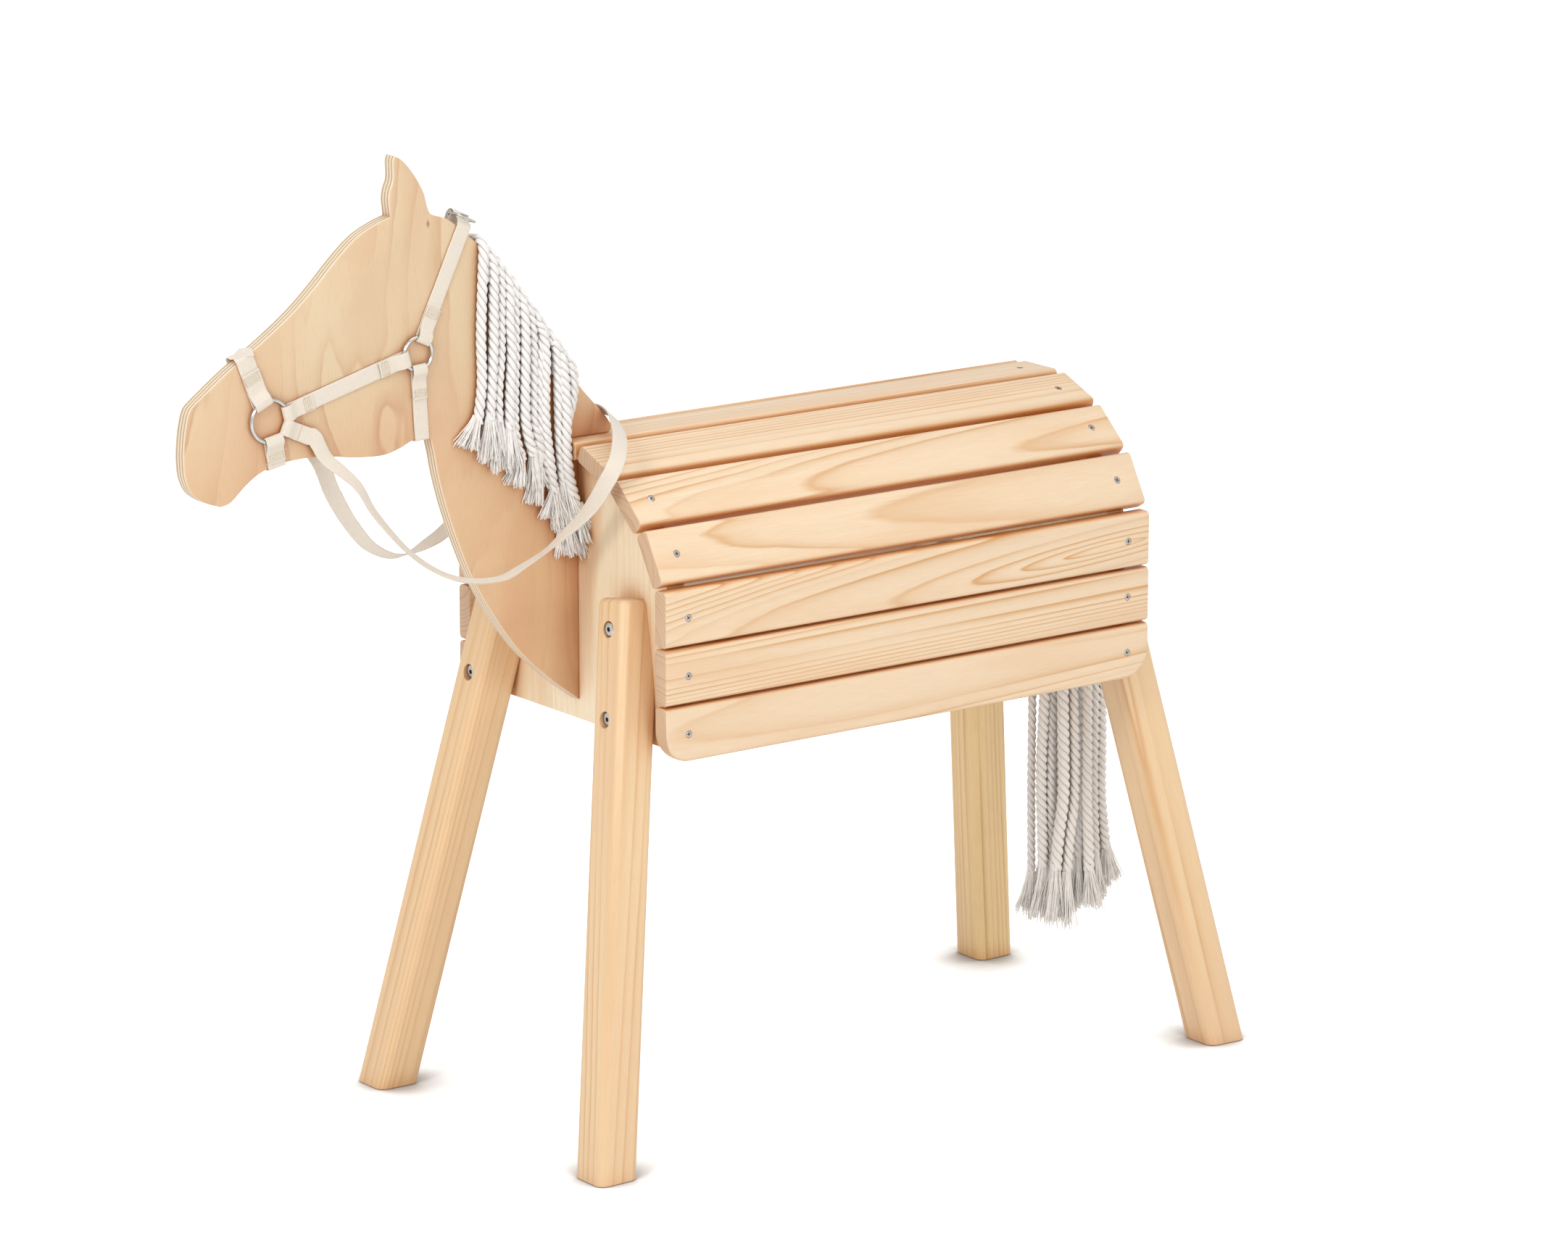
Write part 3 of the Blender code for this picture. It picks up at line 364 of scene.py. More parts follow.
def cotton(name, base, shade, groove):
    """Laid rope: yarn lines along it, and painted shade in the grooves.  The UVs are turns
    round the rope and mm along it."""
    rope = Shader(name, rough=0.95, specular=0.1)
    around, along, _ = rope.uv.split()
    hair = rope.noise((around * 34.0, along * 0.32, 1.0))
    yarn = (around * (2 * math.pi * YARNS_ROUND) + hair * 5.0).math('SINE')
    yarn = yarn.times(0.5, plus=0.5)
    colour = rope.stain(base, yarn, over=(0.0, 0.6), amount=(0.50, 0.0), tint=shade)
    colour = rope.stain(colour, hair, over=(0.5, 0.8), amount=(0.0, 0.30), tint=shade)
    # painted shade: the strands' grooves are darkened by their depth
    depth = rope.value("Attribute", output="Fac", attribute_name="groove")
    colour = rope.stain(colour, depth, over=(0.50, 1.0), amount=(0.0, 0.60), tint=groove)
    tone = rope.noise(rope.object, scale=60.0)
    colour = rope.stain(colour, tone, over=(0.45, 0.8), amount=(0.0, 0.18), tint=shade)
    # painted shade: the rope is darkened where neighbouring ropes close in
    colour = rope.painted_nook_shade(colour, distance=0.011, tint=(0.36, 0.28, 0.235), amount=0.95,
                       over=(0.08, 0.62))
    rope.set("Sheen Weight", 0.3)
    return rope.finish(colour, height=yarn * 0.7 + hair * 0.5, depth=0.00028)


def loose_fibre(name, base, shade):
    fibre = Shader(name, rough=0.95, specular=0.1)
    tone = fibre.noise(fibre.object, scale=160.0)
    colour = fibre.stain(base, tone, over=(0.35, 0.7), amount=(0.0, 0.6), tint=shade)
    fibre.set("Sheen Weight", 0.3)
    relief = fibre.noise(fibre.object, scale=2500.0)
    return fibre.finish(colour, height=relief, depth=0.0001)


def metal(name, base, rough, scratch=0.06):
    """Plated steel, with a painted dark reflection where it turns away from the eye."""
    steel = Shader(name, rough, metallic=1.0)
    grain = steel.noise(steel.object, scale=900.0, detail=3.0)
    smear = steel.noise(steel.object, scale=70.0, detail=3.0)
    facing = steel.value("LayerWeight", {"Blend": 0.5}, "Facing")
    colour = steel.stain(base, smear, over=(0.4, 0.8), amount=(0.0, 0.35),
                         tint=tuple(c * 0.72 for c in base))
    # painted reflection: darkened towards grazing angles, as if mirroring a dark room
    colour = steel.stain(colour, facing, over=(0.30, 0.85), amount=(0.0, 0.85),
                         tint=tuple(c * 0.16 for c in base))
    return steel.finish(colour, rough=grain * scratch + smear.times(0.08, plus=rough - 0.04),
                        height=grain, depth=0.000012)


# painted shade: a near-black material for the insides of the screw and bolt recesses
def recess():
    dark = Shader("recess_painted_shade", rough=0.6)
    grain = dark.noise(dark.object, scale=900.0, detail=1.0)
    return dark.finish(dark.mix(grain, (0.035, 0.030, 0.028), (0.060, 0.052, 0.046)))


def halter_thread():
    thread = Shader("halter_thread", rough=0.85, specular=0.2)
    tone = thread.noise(thread.object, scale=900.0, detail=1.0)
    colour = thread.stain((0.66, 0.59, 0.43), tone, over=(0.4, 0.6), amount=(0.0, 1.0),
                          tint=(0.50, 0.43, 0.28))
    relief = thread.noise(thread.object, scale=3500.0, detail=1.0)
    return thread.finish(colour, height=relief, depth=0.00005)


NICKEL = metal("nickel_visual", (0.66, 0.65, 0.62), rough=0.17)
ZINC = metal("zinc_visual", (0.60, 0.60, 0.60), rough=0.22, scratch=0.12)
RECESS_SHADE = recess()
WEBBING = webbing()
THREAD = halter_thread()
MANE_ROPE = cotton("mane_cotton", base=(0.870, 0.850, 0.830), shade=(0.720, 0.690, 0.655),
                   groove=(0.400, 0.345, 0.310))
# painted light: the tail's rope is paler than the mane's, to lift it out of the body's shade
TAIL_ROPE_PAINTED_LIGHT = cotton("tail_cotton_painted_light", base=(0.940, 0.905, 0.865), shade=(0.780, 0.735, 0.685),
                   groove=(0.520, 0.440, 0.370))
MANE_FRAY = loose_fibre("mane_fibre", base=(0.890, 0.865, 0.835), shade=(0.740, 0.690, 0.630))
# painted light: the tail's fibre is paler than the mane's, to lift it out of the body's shade
TAIL_FRAY_PAINTED_LIGHT = loose_fibre("tail_fibre_painted_light", base=(0.950, 0.920, 0.885), shade=(0.850, 0.805, 0.750))
PLY = birch_ply()


# ================================================================ mesh helpers
def shade(mesh, angle):
    mesh.shade_smooth()
    mesh.set_sharp_from_angle(angle=math.radians(angle))


def add_object(name, mesh):
    obj = bpy.data.objects.new(name, mesh)
    bpy.context.scene.collection.objects.link(obj)
    return obj


def from_bm(bm, name, materials, sharp=35):
    """An object from a bmesh, smooth below the sharp angle; 0 leaves it flat."""
    bmesh.ops.recalc_face_normals(bm, faces=bm.faces)
    mesh = bpy.data.meshes.new(name)
    bm.to_mesh(mesh)
    bm.free()
    for material in materials:
        mesh.materials.append(material)
    if sharp:
        shade(mesh, sharp)
    return add_object(name, mesh)


def attach(obj, body, *nodes, slot):
    """Ride on a body and stand in for CAD nodes; slot is not used."""
    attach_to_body(obj, body)
    if nodes:
        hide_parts(*nodes)


def loft(rings, closed=False, bm=None):
    """Skin a row of rings, capped unless the row closes on itself."""
    bm = bm or bmesh.new()
    loops = [[bm.verts.new(point) for point in ring] for ring in rings]
    count = len(loops[0])
    for a, b in list(zip(loops, loops[1:])) + ([(loops[-1], loops[0])] if closed else []):
        for i in range(count):
            j = (i + 1) % count
            bm.faces.new((a[i], a[j], b[j], b[i]))
    if not closed:
        bm.faces.new(loops[0])
        bm.faces.new(list(reversed(loops[-1])))
    return bm


def circle(count, radius=1.0):
    turns = (2 * math.pi * k / count for k in range(count))
    return [(radius * math.cos(turn), radius * math.sin(turn)) for turn in turns]


def rounded_rect(width, height, radius, steps):
    points = []
    x, y = width / 2 - radius, height / 2 - radius
    for centre_x, centre_y, start in ((x, y, 0), (-x, y, 90), (-x, -y, 180), (x, -y, 270)):
        for k in range(steps + 1):
            turn = math.radians(start + 90 * k / steps)
            points.append((centre_x + radius * math.cos(turn),
                           centre_y + radius * math.sin(turn)))
    return points


def catmull(knots, steps):
    """A Catmull-Rom curve through the knots."""
    points = []
    for i in range(len(knots) - 1):
        p1, p2 = knots[i], knots[i + 1]
        p0 = knots[i - 1] if i else tuple(2 * a - b for a, b in zip(p1, p2))
        p3 = (knots[i + 2] if i + 2 < len(knots)
              else tuple(2 * a - b for a, b in zip(p2, p1)))
        for k in range(steps):
            t = k / steps
            points.append(tuple(0.5 * (2 * b + (c - a) * t + (2 * a - 5 * b + 4 * c - d) * t * t
                                       + (3 * b - a - 3 * c + d) * t ** 3)
                                for a, b, c, d in zip(p0, p1, p2, p3)))
    points.append(tuple(knots[-1]))
    return points


def carve(obj, cutter):
    """Cut the object, keep the result as a plain mesh and drop the cutter."""
    cut = obj.modifiers.new("cut", 'BOOLEAN')
    cut.operation = 'DIFFERENCE'
    cut.solver = 'EXACT'
    cut.object = cutter
    depsgraph = bpy.context.evaluated_depsgraph_get()
    mesh = bpy.data.meshes.new_from_object(obj.evaluated_get(depsgraph), depsgraph=depsgraph)
    obj.modifiers.clear()
    uncut, cutter_mesh = obj.data, cutter.data
    obj.data = mesh
    bpy.data.meshes.remove(uncut)
    bpy.data.objects.remove(cutter)
    bpy.data.meshes.remove(cutter_mesh)
    shade(mesh, 35)


def facing(normal):
    return normal.to_track_quat('Z', 'Y').to_matrix().to_4x4()


# ================================================================== the slats
# outer face's middle (x, z) and tilt in degrees, from the top slat down one side
SLATS = [(0.0, 867.4, 0.0), (79.3, 853.7, 22.0), (147.4, 813.8, 41.8), (199.8, 754.7, 60.4),
         (223.8, 679.1, 90.0), (223.8, 606.4, 90.0), (223.8, 533.7, 90.0)]
LENGTH, SLAT_WIDTH, SLAT_THICK, SLAT_ROUND = 756.0, 70.0, 23.0, 6.0
END_ROUND = 1.3
CORNER = 37.0                         # radius at the lowest slats' bottom corners
CORNER_STATIONS = (2.5, 4.5, 7, 10, 13, 17, 21, 25, 30, CORNER)
SCREW_INSET = 34.0                    # from a slat's end
# screw pocket: radius, height above the slat's face
POCKET = ((5.2, 0.6), (4.9, 0.0), (4.6, -0.7), (2.0, -3.4))
# pith across and below the face, ring spacing, the pith's lean across and down,
# strength of the figure
FIGURE = {
    "slat_top": (78.0, 22.0, 7.5, 0.010, 0.004, 1.0),
    "slat_left_1": (-92.0, 18.0, 8.6, 0.012, 0.010, 1.25),
    "slat_left_2": (8.0, 34.0, 8.6, 0.016, 0.062, 1.00),
    "slat_left_3": (-14.0, 58.0, 11.0, -0.020, 0.048, 0.62),
    "slat_left_4": (12.0, 26.0, 8.6, 0.060, 0.085, 1.05),
    "slat_left_5": (80.0, 16.0, 7.8, 0.014, 0.012, 1.20),
    "slat_left_6": (-34.0, 40.0, 10.0, 0.070, 0.050, 0.78),
    "slat_right_1": (70.0, 20.0, 7.5, -0.014, 0.010, 1.0),
    "slat_right_2": (-10.0, 40.0, 8.5, 0.012, -0.060, 0.85),
    "slat_right_3": (64.0, 24.0, 8.0, 0.020, 0.010, 0.90),
    "slat_right_4": (16.0, 38.0, 9.0, -0.020, 0.055, 0.80),
    "slat_right_5": (-72.0, 20.0, 8.0, 0.010, -0.014, 0.95),
    "slat_right_6": (6.0, 46.0, 9.5, 0.018, 0.058, 0.80)}


def slat_stations(lowest):
    """(y, inset all round, cut off the bottom edge) from end to end."""
    eased = [math.radians(30 * k) for k in range(4)]
    front = [(END_ROUND * (1 - math.cos(q)), END_ROUND * (1 - math.sin(q))) for q in eased]
    if lowest:
        front += [(y, 0.0) for y in CORNER_STATIONS]
    stations = []
    for y, inset in front + [(LENGTH - y, inset) for y, inset in reversed(front)]:
        cut, from_end = 0.0, min(y, LENGTH - y)
        if lowest and from_end < CORNER:
            cut = CORNER - math.sqrt(CORNER ** 2 - (CORNER - from_end) ** 2)
        stations.append((y, inset, cut))
    return stations


def slat(row, side):
    """Build one slat; returns its screws' (place, outward direction)."""
    x, z, tilt = SLATS[row]
    tilt = math.radians(tilt)
    outward = Vector((side * math.sin(tilt), 0, math.cos(tilt)))
    across = Vector((side * math.cos(tilt), 0, -math.sin(tilt)))
    face = Vector((side * x, 0, z))
    rings = []
    for y, inset, cut in slat_stations(row == 6):
        ring = []
        for p, q in rounded_rect(SLAT_WIDTH - cut - 2 * inset, SLAT_THICK - 2 * inset,
                                 SLAT_ROUND - inset, 6):
            point = face + across * (p - cut / 2) + outward * (q - SLAT_THICK / 2)
            ring.append(put(point.x, y, point.z))
        rings.append(ring)
    name = "slat_%s_%d" % ("left" if side > 0 else "right", row) if row else "slat_top"
    pith_x, pith_z, spacing, lean_x, lean_z, contrast = FIGURE[name]
    material = pine("pine_" + name, (side * x * MM, 0.2, (z - 10) * MM), grain=(0, 1, 0),
                    width=across, seed=row * 2 + (1 if side > 0 else 2),
                    pith=(pith_x, pith_z), spacing=spacing, tilt=(lean_x, lean_z),
                    contrast=contrast)
    obj = from_bm(loft(rings), name, [material])
    pockets, screws, turn = bmesh.new(), [], facing(outward)
    for y in (SCREW_INSET, LENGTH - SCREW_INSET):
        rings = []
        for radius, height in POCKET:
            c = face + outward * height
            rings.append([put(c.x, y, c.z) + (turn @ Vector((p, q, 0)))
                          for p, q in circle(28, radius * MM)])
        loft(rings, bm=pockets)
        screws.append((put(face.x, y, face.z), outward.copy()))
    carve(obj, from_bm(pockets, "screw_cutter", [material], 0))
    attach(obj, "horse", "back_" + name, slot="pine_slat")
    return screws


# radius and height of the screw head's profile, z = 0 at its rim's face
SCREW_PROFILE = [(1.9, -2.9), (3.9, -0.75), (4.15, -0.35), (3.95, -0.12), (3.2, 0.04),
                 (1.8, 0.12), (0.9, 0.14)]
# height, half length and half width of one arm of the cross recess
CROSS = ((0.6, 2.75, 0.62), (-0.2, 2.5, 0.55), (-1.9, 1.0, 0.38))
SCREW_SINK = 0.00050                  # metres below the slat's face


def screw_head():
    """A countersunk cross-recess head, in millimetres."""
    rings = [[(x, y, z) for x, y in circle(32, radius)] for radius, z in SCREW_PROFILE]
    head = from_bm(loft(rings), "screw_head_base", [ZINC], 30)
    for turn in (0, 90):
        c, s = math.cos(math.radians(turn)), math.sin(math.radians(turn))
        rings = [[(c * x - s * y, s * x + c * y, z)
                  for x, y in ((long, wide), (-long, wide), (-long, -wide), (long, -wide))]
                 for z, long, wide in CROSS]
        carve(head, from_bm(loft(rings), "cross_cutter", [ZINC], 0))
    # painted shade: the cross recess's inner faces take the near-black material
    head.data.materials.append(RECESS_SHADE)
    for face in head.data.polygons:
        c = face.center
        if (c.z > -2.2 and math.hypot(c.x, c.y) < 2.75
                and (c.z < -0.02 or abs(face.normal.z) < 0.6)):
            face.material_index = 1
    return head


def slats_and_screws():
    screws = []
    for row in range(7):
        for side in (1, -1) if row else (1,):
            screws += slat(row, side)
    head = screw_head()
    rng = random.Random(11)
    bm = bmesh.new()
    for place, outward in screws:
        mesh = head.data.copy()
        spin = Matrix.Rotation(rng.uniform(0, math.pi), 4, 'Z')
        mesh.transform(Matrix.Translation(place - outward * SCREW_SINK) @ facing(outward)
                       @ spin @ Matrix.Scale(MM, 4))
        bm.from_mesh(mesh)
        bpy.data.meshes.remove(mesh)
    bpy.data.objects.remove(head)
    attach(from_bm(bm, "slat_screws", [ZINC, RECESS_SHADE], 30), "horse", slot="zinc_steel")


slats_and_screws()

# =================================================================== the legs
# Legs are built as front ones; the rear pair is mirrored along y.
LEG_WIDTH, LEG_ROUND, LEG_TOP_ROUND = 58.0, 12.0, 8.0
FOOT_X, FOOT_Y = 242.3, -106.0
LEAN_X, LEAN_Y = 0.172, 0.178         # inwards and backwards, per unit of height
LEG_TOP = 687.0
LEG_CUT_Y = 20.7                      # plane that trims the leg's inner end
FOOT_BEVEL = 1.6
BOLTS = (("upper", 654.0, 4.6), ("lower", 547.0, 7.6))    # height, seat's depth
# radius of the bolt head, and its place forward of the seat
BOLT_PROFILE = ((8.8, 0.0), (8.8, 2.6), (8.55, 3.2), (8.0, 3.6), (7.0, 3.8), (4.3, 3.95))
BOLT_END_Y = 52.0
# scale of the hexagon socket, and its place forward of the seat
SOCKET = ((1.0, 3.85), (0.96, 3.5), (0.95, 0.5), (0.3, 0.2))
HEX_RADIUS, HEX_TURN, HEX_SECTOR = 3.35, 0.3, math.pi / 3
BOLT_STEPS = 48
# each leg's pale wood colour; the rear right leg's paler, more golden colour is painted light that
# lifts it out of the body's shade
LEG_TONE_AND_PAINTED_LIGHT = {"front_left": (0.800, 0.580, 0.345), "front_right": (0.800, 0.555, 0.315),
            "rear_left": (0.800, 0.572, 0.338), "rear_right": (0.940, 0.680, 0.345)}


def leg_face_y(z):
    return FOOT_Y + LEAN_Y * z - LEG_WIDTH / 2 * math.sqrt(1 + LEAN_Y ** 2)


def mirrored(y, rear):
    return LENGTH - y if rear else y


def bolt_ring(x, y, z, radii, rear):
    return [put(x + radius * c, mirrored(y, rear), z + radius * s)
            for radius, (c, s) in zip(radii, circle(BOLT_STEPS))]


def bolt(x, z, seat, rear, tag):
    """Cap bolt with a hexagon socket, its head's underside at y = seat."""
    sections = [([radius] * BOLT_STEPS, y) for radius, y in
                [(4.0, BOLT_END_Y), (4.0, seat)] + [(r, seat - d) for r, d in BOLT_PROFILE]]
    for scale, forward in SOCKET:
        radii = []
        for k in range(BOLT_STEPS):
            turn = 2 * math.pi * k / BOLT_STEPS + HEX_TURN
            off_flat = turn % HEX_SECTOR - HEX_SECTOR / 2
            radii.append(scale * HEX_RADIUS * math.cos(HEX_SECTOR / 2) / math.cos(off_flat))
        sections.append((radii, seat - forward))
    bm = loft([bolt_ring(x, y, z, radii, rear) for radii, y in sections])
    # painted shade: the hexagon socket's inner faces take the near-black material
    middle = put(x, mirrored(seat - 2.0, rear), z)
    for face in bm.faces:
        c = face.calc_center_median() - middle
        if math.hypot(c.x, c.z) < 0.0034 and abs(c.y) < 0.0018:
            face.material_index = 1
    attach(from_bm(bm, "bolt_" + tag, [NICKEL, RECESS_SHADE], 30), "horse", "leg_bolt_" + tag,
           slot="nickel_steel")


def leg_wood(where, middle, grain, seed):
    rnd = random.Random(seed * 31)
    return pine("pine_leg_" + where, middle, grain, width=(1, 0, 0), seed=seed + 40,
                pith=(rnd.uniform(45, 80) * (-1 if seed % 2 else 1), rnd.uniform(35, 70)),
                spacing=rnd.uniform(7.0, 9.0),
                tilt=(rnd.uniform(-0.012, 0.012), rnd.uniform(-0.015, 0.015)),
                contrast=0.72, warp=0.6, painted_nook_shade=0.45, light=LEG_TONE_AND_PAINTED_LIGHT[where], edge=0.0)


def leg(side, rear, where, seed):
    foot = Vector((side * FOOT_X, FOOT_Y, 0.0))
    axis = Vector((-side * LEAN_X, LEAN_Y, 1.0))
    along = axis.normalized()
    across = (Vector((1, 0, 0)) - along * along.x).normalized()
    deep = along.cross(across)
    top = foot + axis * LEG_TOP
    # starts below the floor, and is rounded over at the square top
    stations = [(foot - axis * 60.0, 0.0)]
    for k in range(6):
        q = math.radians(90 * k / 5)
        stations.append((top - along * (LEG_TOP_ROUND * (1 - math.sin(q))),
                         LEG_TOP_ROUND * (1 - math.cos(q))))
    bm = loft([[base + across * p + deep * q
                for p, q in rounded_rect(LEG_WIDTH - 2 * inset, LEG_WIDTH - 2 * inset,
                                         LEG_ROUND - inset * 0.3, 8)]
               for base, inset in stations])
    bmesh.ops.recalc_face_normals(bm, faces=bm.faces)
    for point, normal in (((0, 0, 0), (0, 0, -1)), ((0, LEG_CUT_Y, 0), (0, 1, 0))):
        cut = bmesh.ops.bisect_plane(bm, geom=list(bm.verts) + list(bm.edges) + list(bm.faces),
                                     plane_co=point, plane_no=normal, clear_outer=True,
                                     dist=1e-4)
        edges = [e for e in cut["geom_cut"] if isinstance(e, bmesh.types.BMEdge)]
        bmesh.ops.contextual_create(bm, geom=edges)
    rim = [e for e in bm.edges if all(abs(v.co.z) < 1e-3 for v in e.verts)]
    bmesh.ops.bevel(bm, geom=rim, offset=FOOT_BEVEL, segments=3, profile=0.5,
                    affect='EDGES', clamp_overlap=True)
    for v in bm.verts:
        v.co = put(v.co.x, mirrored(v.co.y, rear), v.co.z)
    middle = foot + axis * 350
    material = leg_wood(where, put(middle.x, mirrored(middle.y, rear), middle.z),
                        Vector((axis.x, axis.y * (-1 if rear else 1), axis.z)), seed)
    obj = from_bm(bm, "leg_" + where + "_wood", [material])
    for tag, z, sink in BOLTS:
        x = side * (FOOT_X - LEAN_X * z)
        seat = leg_face_y(z) + sink
        hole = ((10.3, leg_face_y(z) - 30), (10.3, seat - 0.4), (9.9, seat), (4.4, seat),
                (4.4, 60.0))
        rings = [bolt_ring(x, y, z, [radius] * BOLT_STEPS, rear) for radius, y in hole]
        carve(obj, from_bm(loft(rings), "bolt_cutter", [material], 0))
        bolt(x, z, seat - 0.3, rear, where + "_" + tag)
    attach(obj, "horse", "leg_" + where, slot="pine_leg")


leg(1, False, "front_left", 1)
leg(-1, False, "front_right", 2)
leg(1, True, "rear_left", 3)
leg(-1, True, "rear_right", 4)


# ============================================================ bulkheads, plates
def repaint(obj, material):
    obj.data.materials.clear()
    obj.data.materials.append(material)


for node, seed in (("front_bulkhead", 71), ("rear_bulkhead", 72)):
    centre = tuple((a + b) / 2 for a, b in zip(*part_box(node)))
    repaint(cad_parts[node],
            pine("board_" + node, centre, grain=(0, 0, 1), width=(1, 0, 0), seed=seed,
                 pith=(40.0, 120.0), spacing=9.0, tilt=(0.03, 0.02), contrast=0.50,
                 light=(0.890, 0.775, 0.575), dark=(0.78, 0.56, 0.35), warp=0.8, edge=0.3))
for node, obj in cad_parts.items():
    if node.startswith(("leg_plate_", "neck_bolt_")):
        repaint(obj, ZINC)

# ============================================================== head and neck
# the board's outline as (y, z) knots, from the withers over the head to the chest
CREST = [(72.0, 876.5), (64.0, 888.5), (46.5, 907.5), (25.0, 931.5),
         (-7.0, 974.0), (-38.7, 1016.0), (-80.7, 1070.2), (-120.3, 1119.1)]
POLL = [(-120.3, 1119.1), (-125.0, 1126.0), (-138.0, 1137.0),
        (-156.6, 1152.4), (-172.2, 1161.6), (-187.8, 1166.3)]
EAR_BACK = [(-187.8, 1166.3), (-192.0, 1170.3), (-195.2, 1178.0), (-200.8, 1196.8),
            (-215.0, 1220.2), (-229.5, 1236.6), (-240.8, 1243.4)]
EAR_FRONT = [(-240.8, 1243.4), (-243.3, 1236.0), (-243.2, 1216.0), (-247.8, 1203.0),
             (-249.8, 1192.0), (-248.6, 1178.0), (-247.6, 1170.6)]
FOREHEAD = [(-247.6, 1170.6), (-269.0, 1163.8), (-297.0, 1150.4),
            (-326.6, 1126.0), (-357.8, 1095.9), (-389.0, 1069.2),
            (-430.0, 1040.6), (-481.4, 1008.6), (-520.0, 981.0)]
NOSE = [(-520.0, 981.0), (-532.6, 970.2), (-538.4, 953.0), (-541.9, 931.0), (-543.0, 908.0),
        (-540.6, 887.0), (-531.6, 868.6), (-514.0, 856.0), (-493.0, 848.4)]
JAW = [(-493.0, 848.4), (-478.5, 852.6), (-457.4, 870.0), (-437.0, 882.4),
       (-412.0, 889.4), (-378.0, 892.2), (-339.6, 889.8), (-303.6, 884.0),
       (-265.0, 881.4), (-240.0, 886.6), (-222.0, 893.8), (-206.0, 896.8)]
THROAT = [(-194.0, 893.0), (-188.9, 872.0), (-184.0, 846.0), (-173.0, 806.0), (-156.0, 758.0),
          (-134.0, 708.0), (-104.0, 658.0), (-66.0, 608.0), (-22.0, 567.4), (20.7, 535.4)]
# straight cuts where the board meets the body
BODY_STEP = [(20.7, 843.2), (-1.4, 843.2), (-1.4, 867.7), (66.5, 867.7), (71.2, 870.6)]
HEAD_ROUND = 1.9


def head_outline():
    """The whole outline, without points closer than 0.4 mm to the last."""
    points = []
    for run in (CREST, POLL, EAR_BACK, EAR_FRONT, FOREHEAD, NOSE, JAW, THROAT):
        points += catmull(run, 6)[:-1]
    kept = []
    for p in points + [THROAT[-1]] + BODY_STEP:
        if not kept or math.hypot(p[0] - kept[-1][0], p[1] - kept[-1][1]) > 0.4:
            kept.append(p)
    return kept


OUTLINE = head_outline()


def inset_outline(distance):
    """Each point moved inward along its corner's bisector."""
    count = len(OUTLINE)
    nexts = OUTLINE[1:] + OUTLINE[:1]
    area = sum(a[0] * b[1] - b[0] * a[1] for a, b in zip(OUTLINE, nexts))
    turn = 1.0 if area > 0 else -1.0
    moved = []
    for i in range(count):
        before, here, after = OUTLINE[i - 1], OUTLINE[i], nexts[i]
        edge1 = Vector((here[0] - before[0], here[1] - before[1])).normalized()
        edge2 = Vector((after[0] - here[0], after[1] - here[1])).normalized()
        normal1 = Vector((-edge1.y, edge1.x)) * turn
        normal2 = Vector((-edge2.y, edge2.x)) * turn
        bisector = (normal1 + normal2).normalized()
        k = max(0.6, bisector.dot(normal1))
        moved.append((here[0] + bisector.x * distance / k, here[1] + bisector.y * distance / k))
    return moved


def head():
    rings = []
    for side, steps in ((-1, range(5)), (1, reversed(range(5)))):
        for k in steps:
            q = math.radians(90 * k / 4)
            x = side * (HEAD_HALF - HEAD_ROUND * (1 - math.cos(q)))
            rings.append([put(x, y, z)
                          for y, z in inset_outline(HEAD_ROUND * (1 - math.sin(q)))])
    attach(from_bm(loft(rings), "head_and_neck", [PLY], 40), "horse", "head_neck_panel",
           slot="birch_ply")


head()


# ============================================================== rope and fray
class TubeMesh:
    """Many tubes in one mesh, with UVs and a groove value per point."""

    def __init__(self):
        self.verts, self.faces, self.uvs, self.grooves = [], [], [], []
        self.count = 0

    def add(self, verts, faces, uvs=None, grooves=None):
        """Add a tube; verts are in the body's frame, in mm."""
        verts = verts * MM
        verts[:, 1] -= Y_MID * MM
        self.verts.append(verts)
        self.faces.append(faces + self.count)
        self.uvs.append(np.zeros((len(faces) * 4, 2)) if uvs is None else uvs)
        self.grooves.append(np.zeros(len(verts)) if grooves is None else grooves)
        self.count += len(verts)

    def build(self, name, material):
        verts, faces = np.concatenate(self.verts), np.concatenate(self.faces)
        mesh = bpy.data.meshes.new(name)
        mesh.vertices.add(len(verts))
        mesh.vertices.foreach_set("co", verts.astype(np.float32).ravel())
        mesh.loops.add(len(faces) * 4)
        mesh.loops.foreach_set("vertex_index", faces.astype(np.int32).ravel())
        mesh.polygons.add(len(faces))
        mesh.polygons.foreach_set("loop_start", (np.arange(len(faces)) * 4).astype(np.int32))
        mesh.update(calc_edges=True)
        layer = mesh.uv_layers.new(name="UVMap")
        layer.data.foreach_set("uv", np.concatenate(self.uvs).astype(np.float32).ravel())
        groove = mesh.attributes.new("groove", 'FLOAT', 'POINT')
        groove.data.foreach_set("value", np.concatenate(self.grooves).astype(np.float32))
        mesh.validate()
        mesh.materials.append(material)
        mesh.shade_smooth()
        return add_object(name, mesh)


def directions(line):
    tangents = np.gradient(line, axis=0)
    return tangents / np.linalg.norm(tangents, axis=1)[:, None]


def frames(line):
    """Tangents and a rotation-minimising pair of normals along a polyline."""
    tangents = directions(line)
    start = np.array([0.0, 1.0, 0.0] if abs(tangents[0][1]) < 0.8 else [1.0, 0.0, 0.0])
    normals = [start]
    for tangent in tangents:
        normal = normals[-1] - tangent * normals[-1].dot(tangent)
        normals.append(normal / np.linalg.norm(normal))
    normals = np.array(normals[1:])
    return tangents, normals, np.cross(tangents, normals)


def lengths(line):
    """Distance along a polyline at each point."""
    return np.concatenate([[0], np.cumsum(np.linalg.norm(np.diff(line, axis=0), axis=1))])


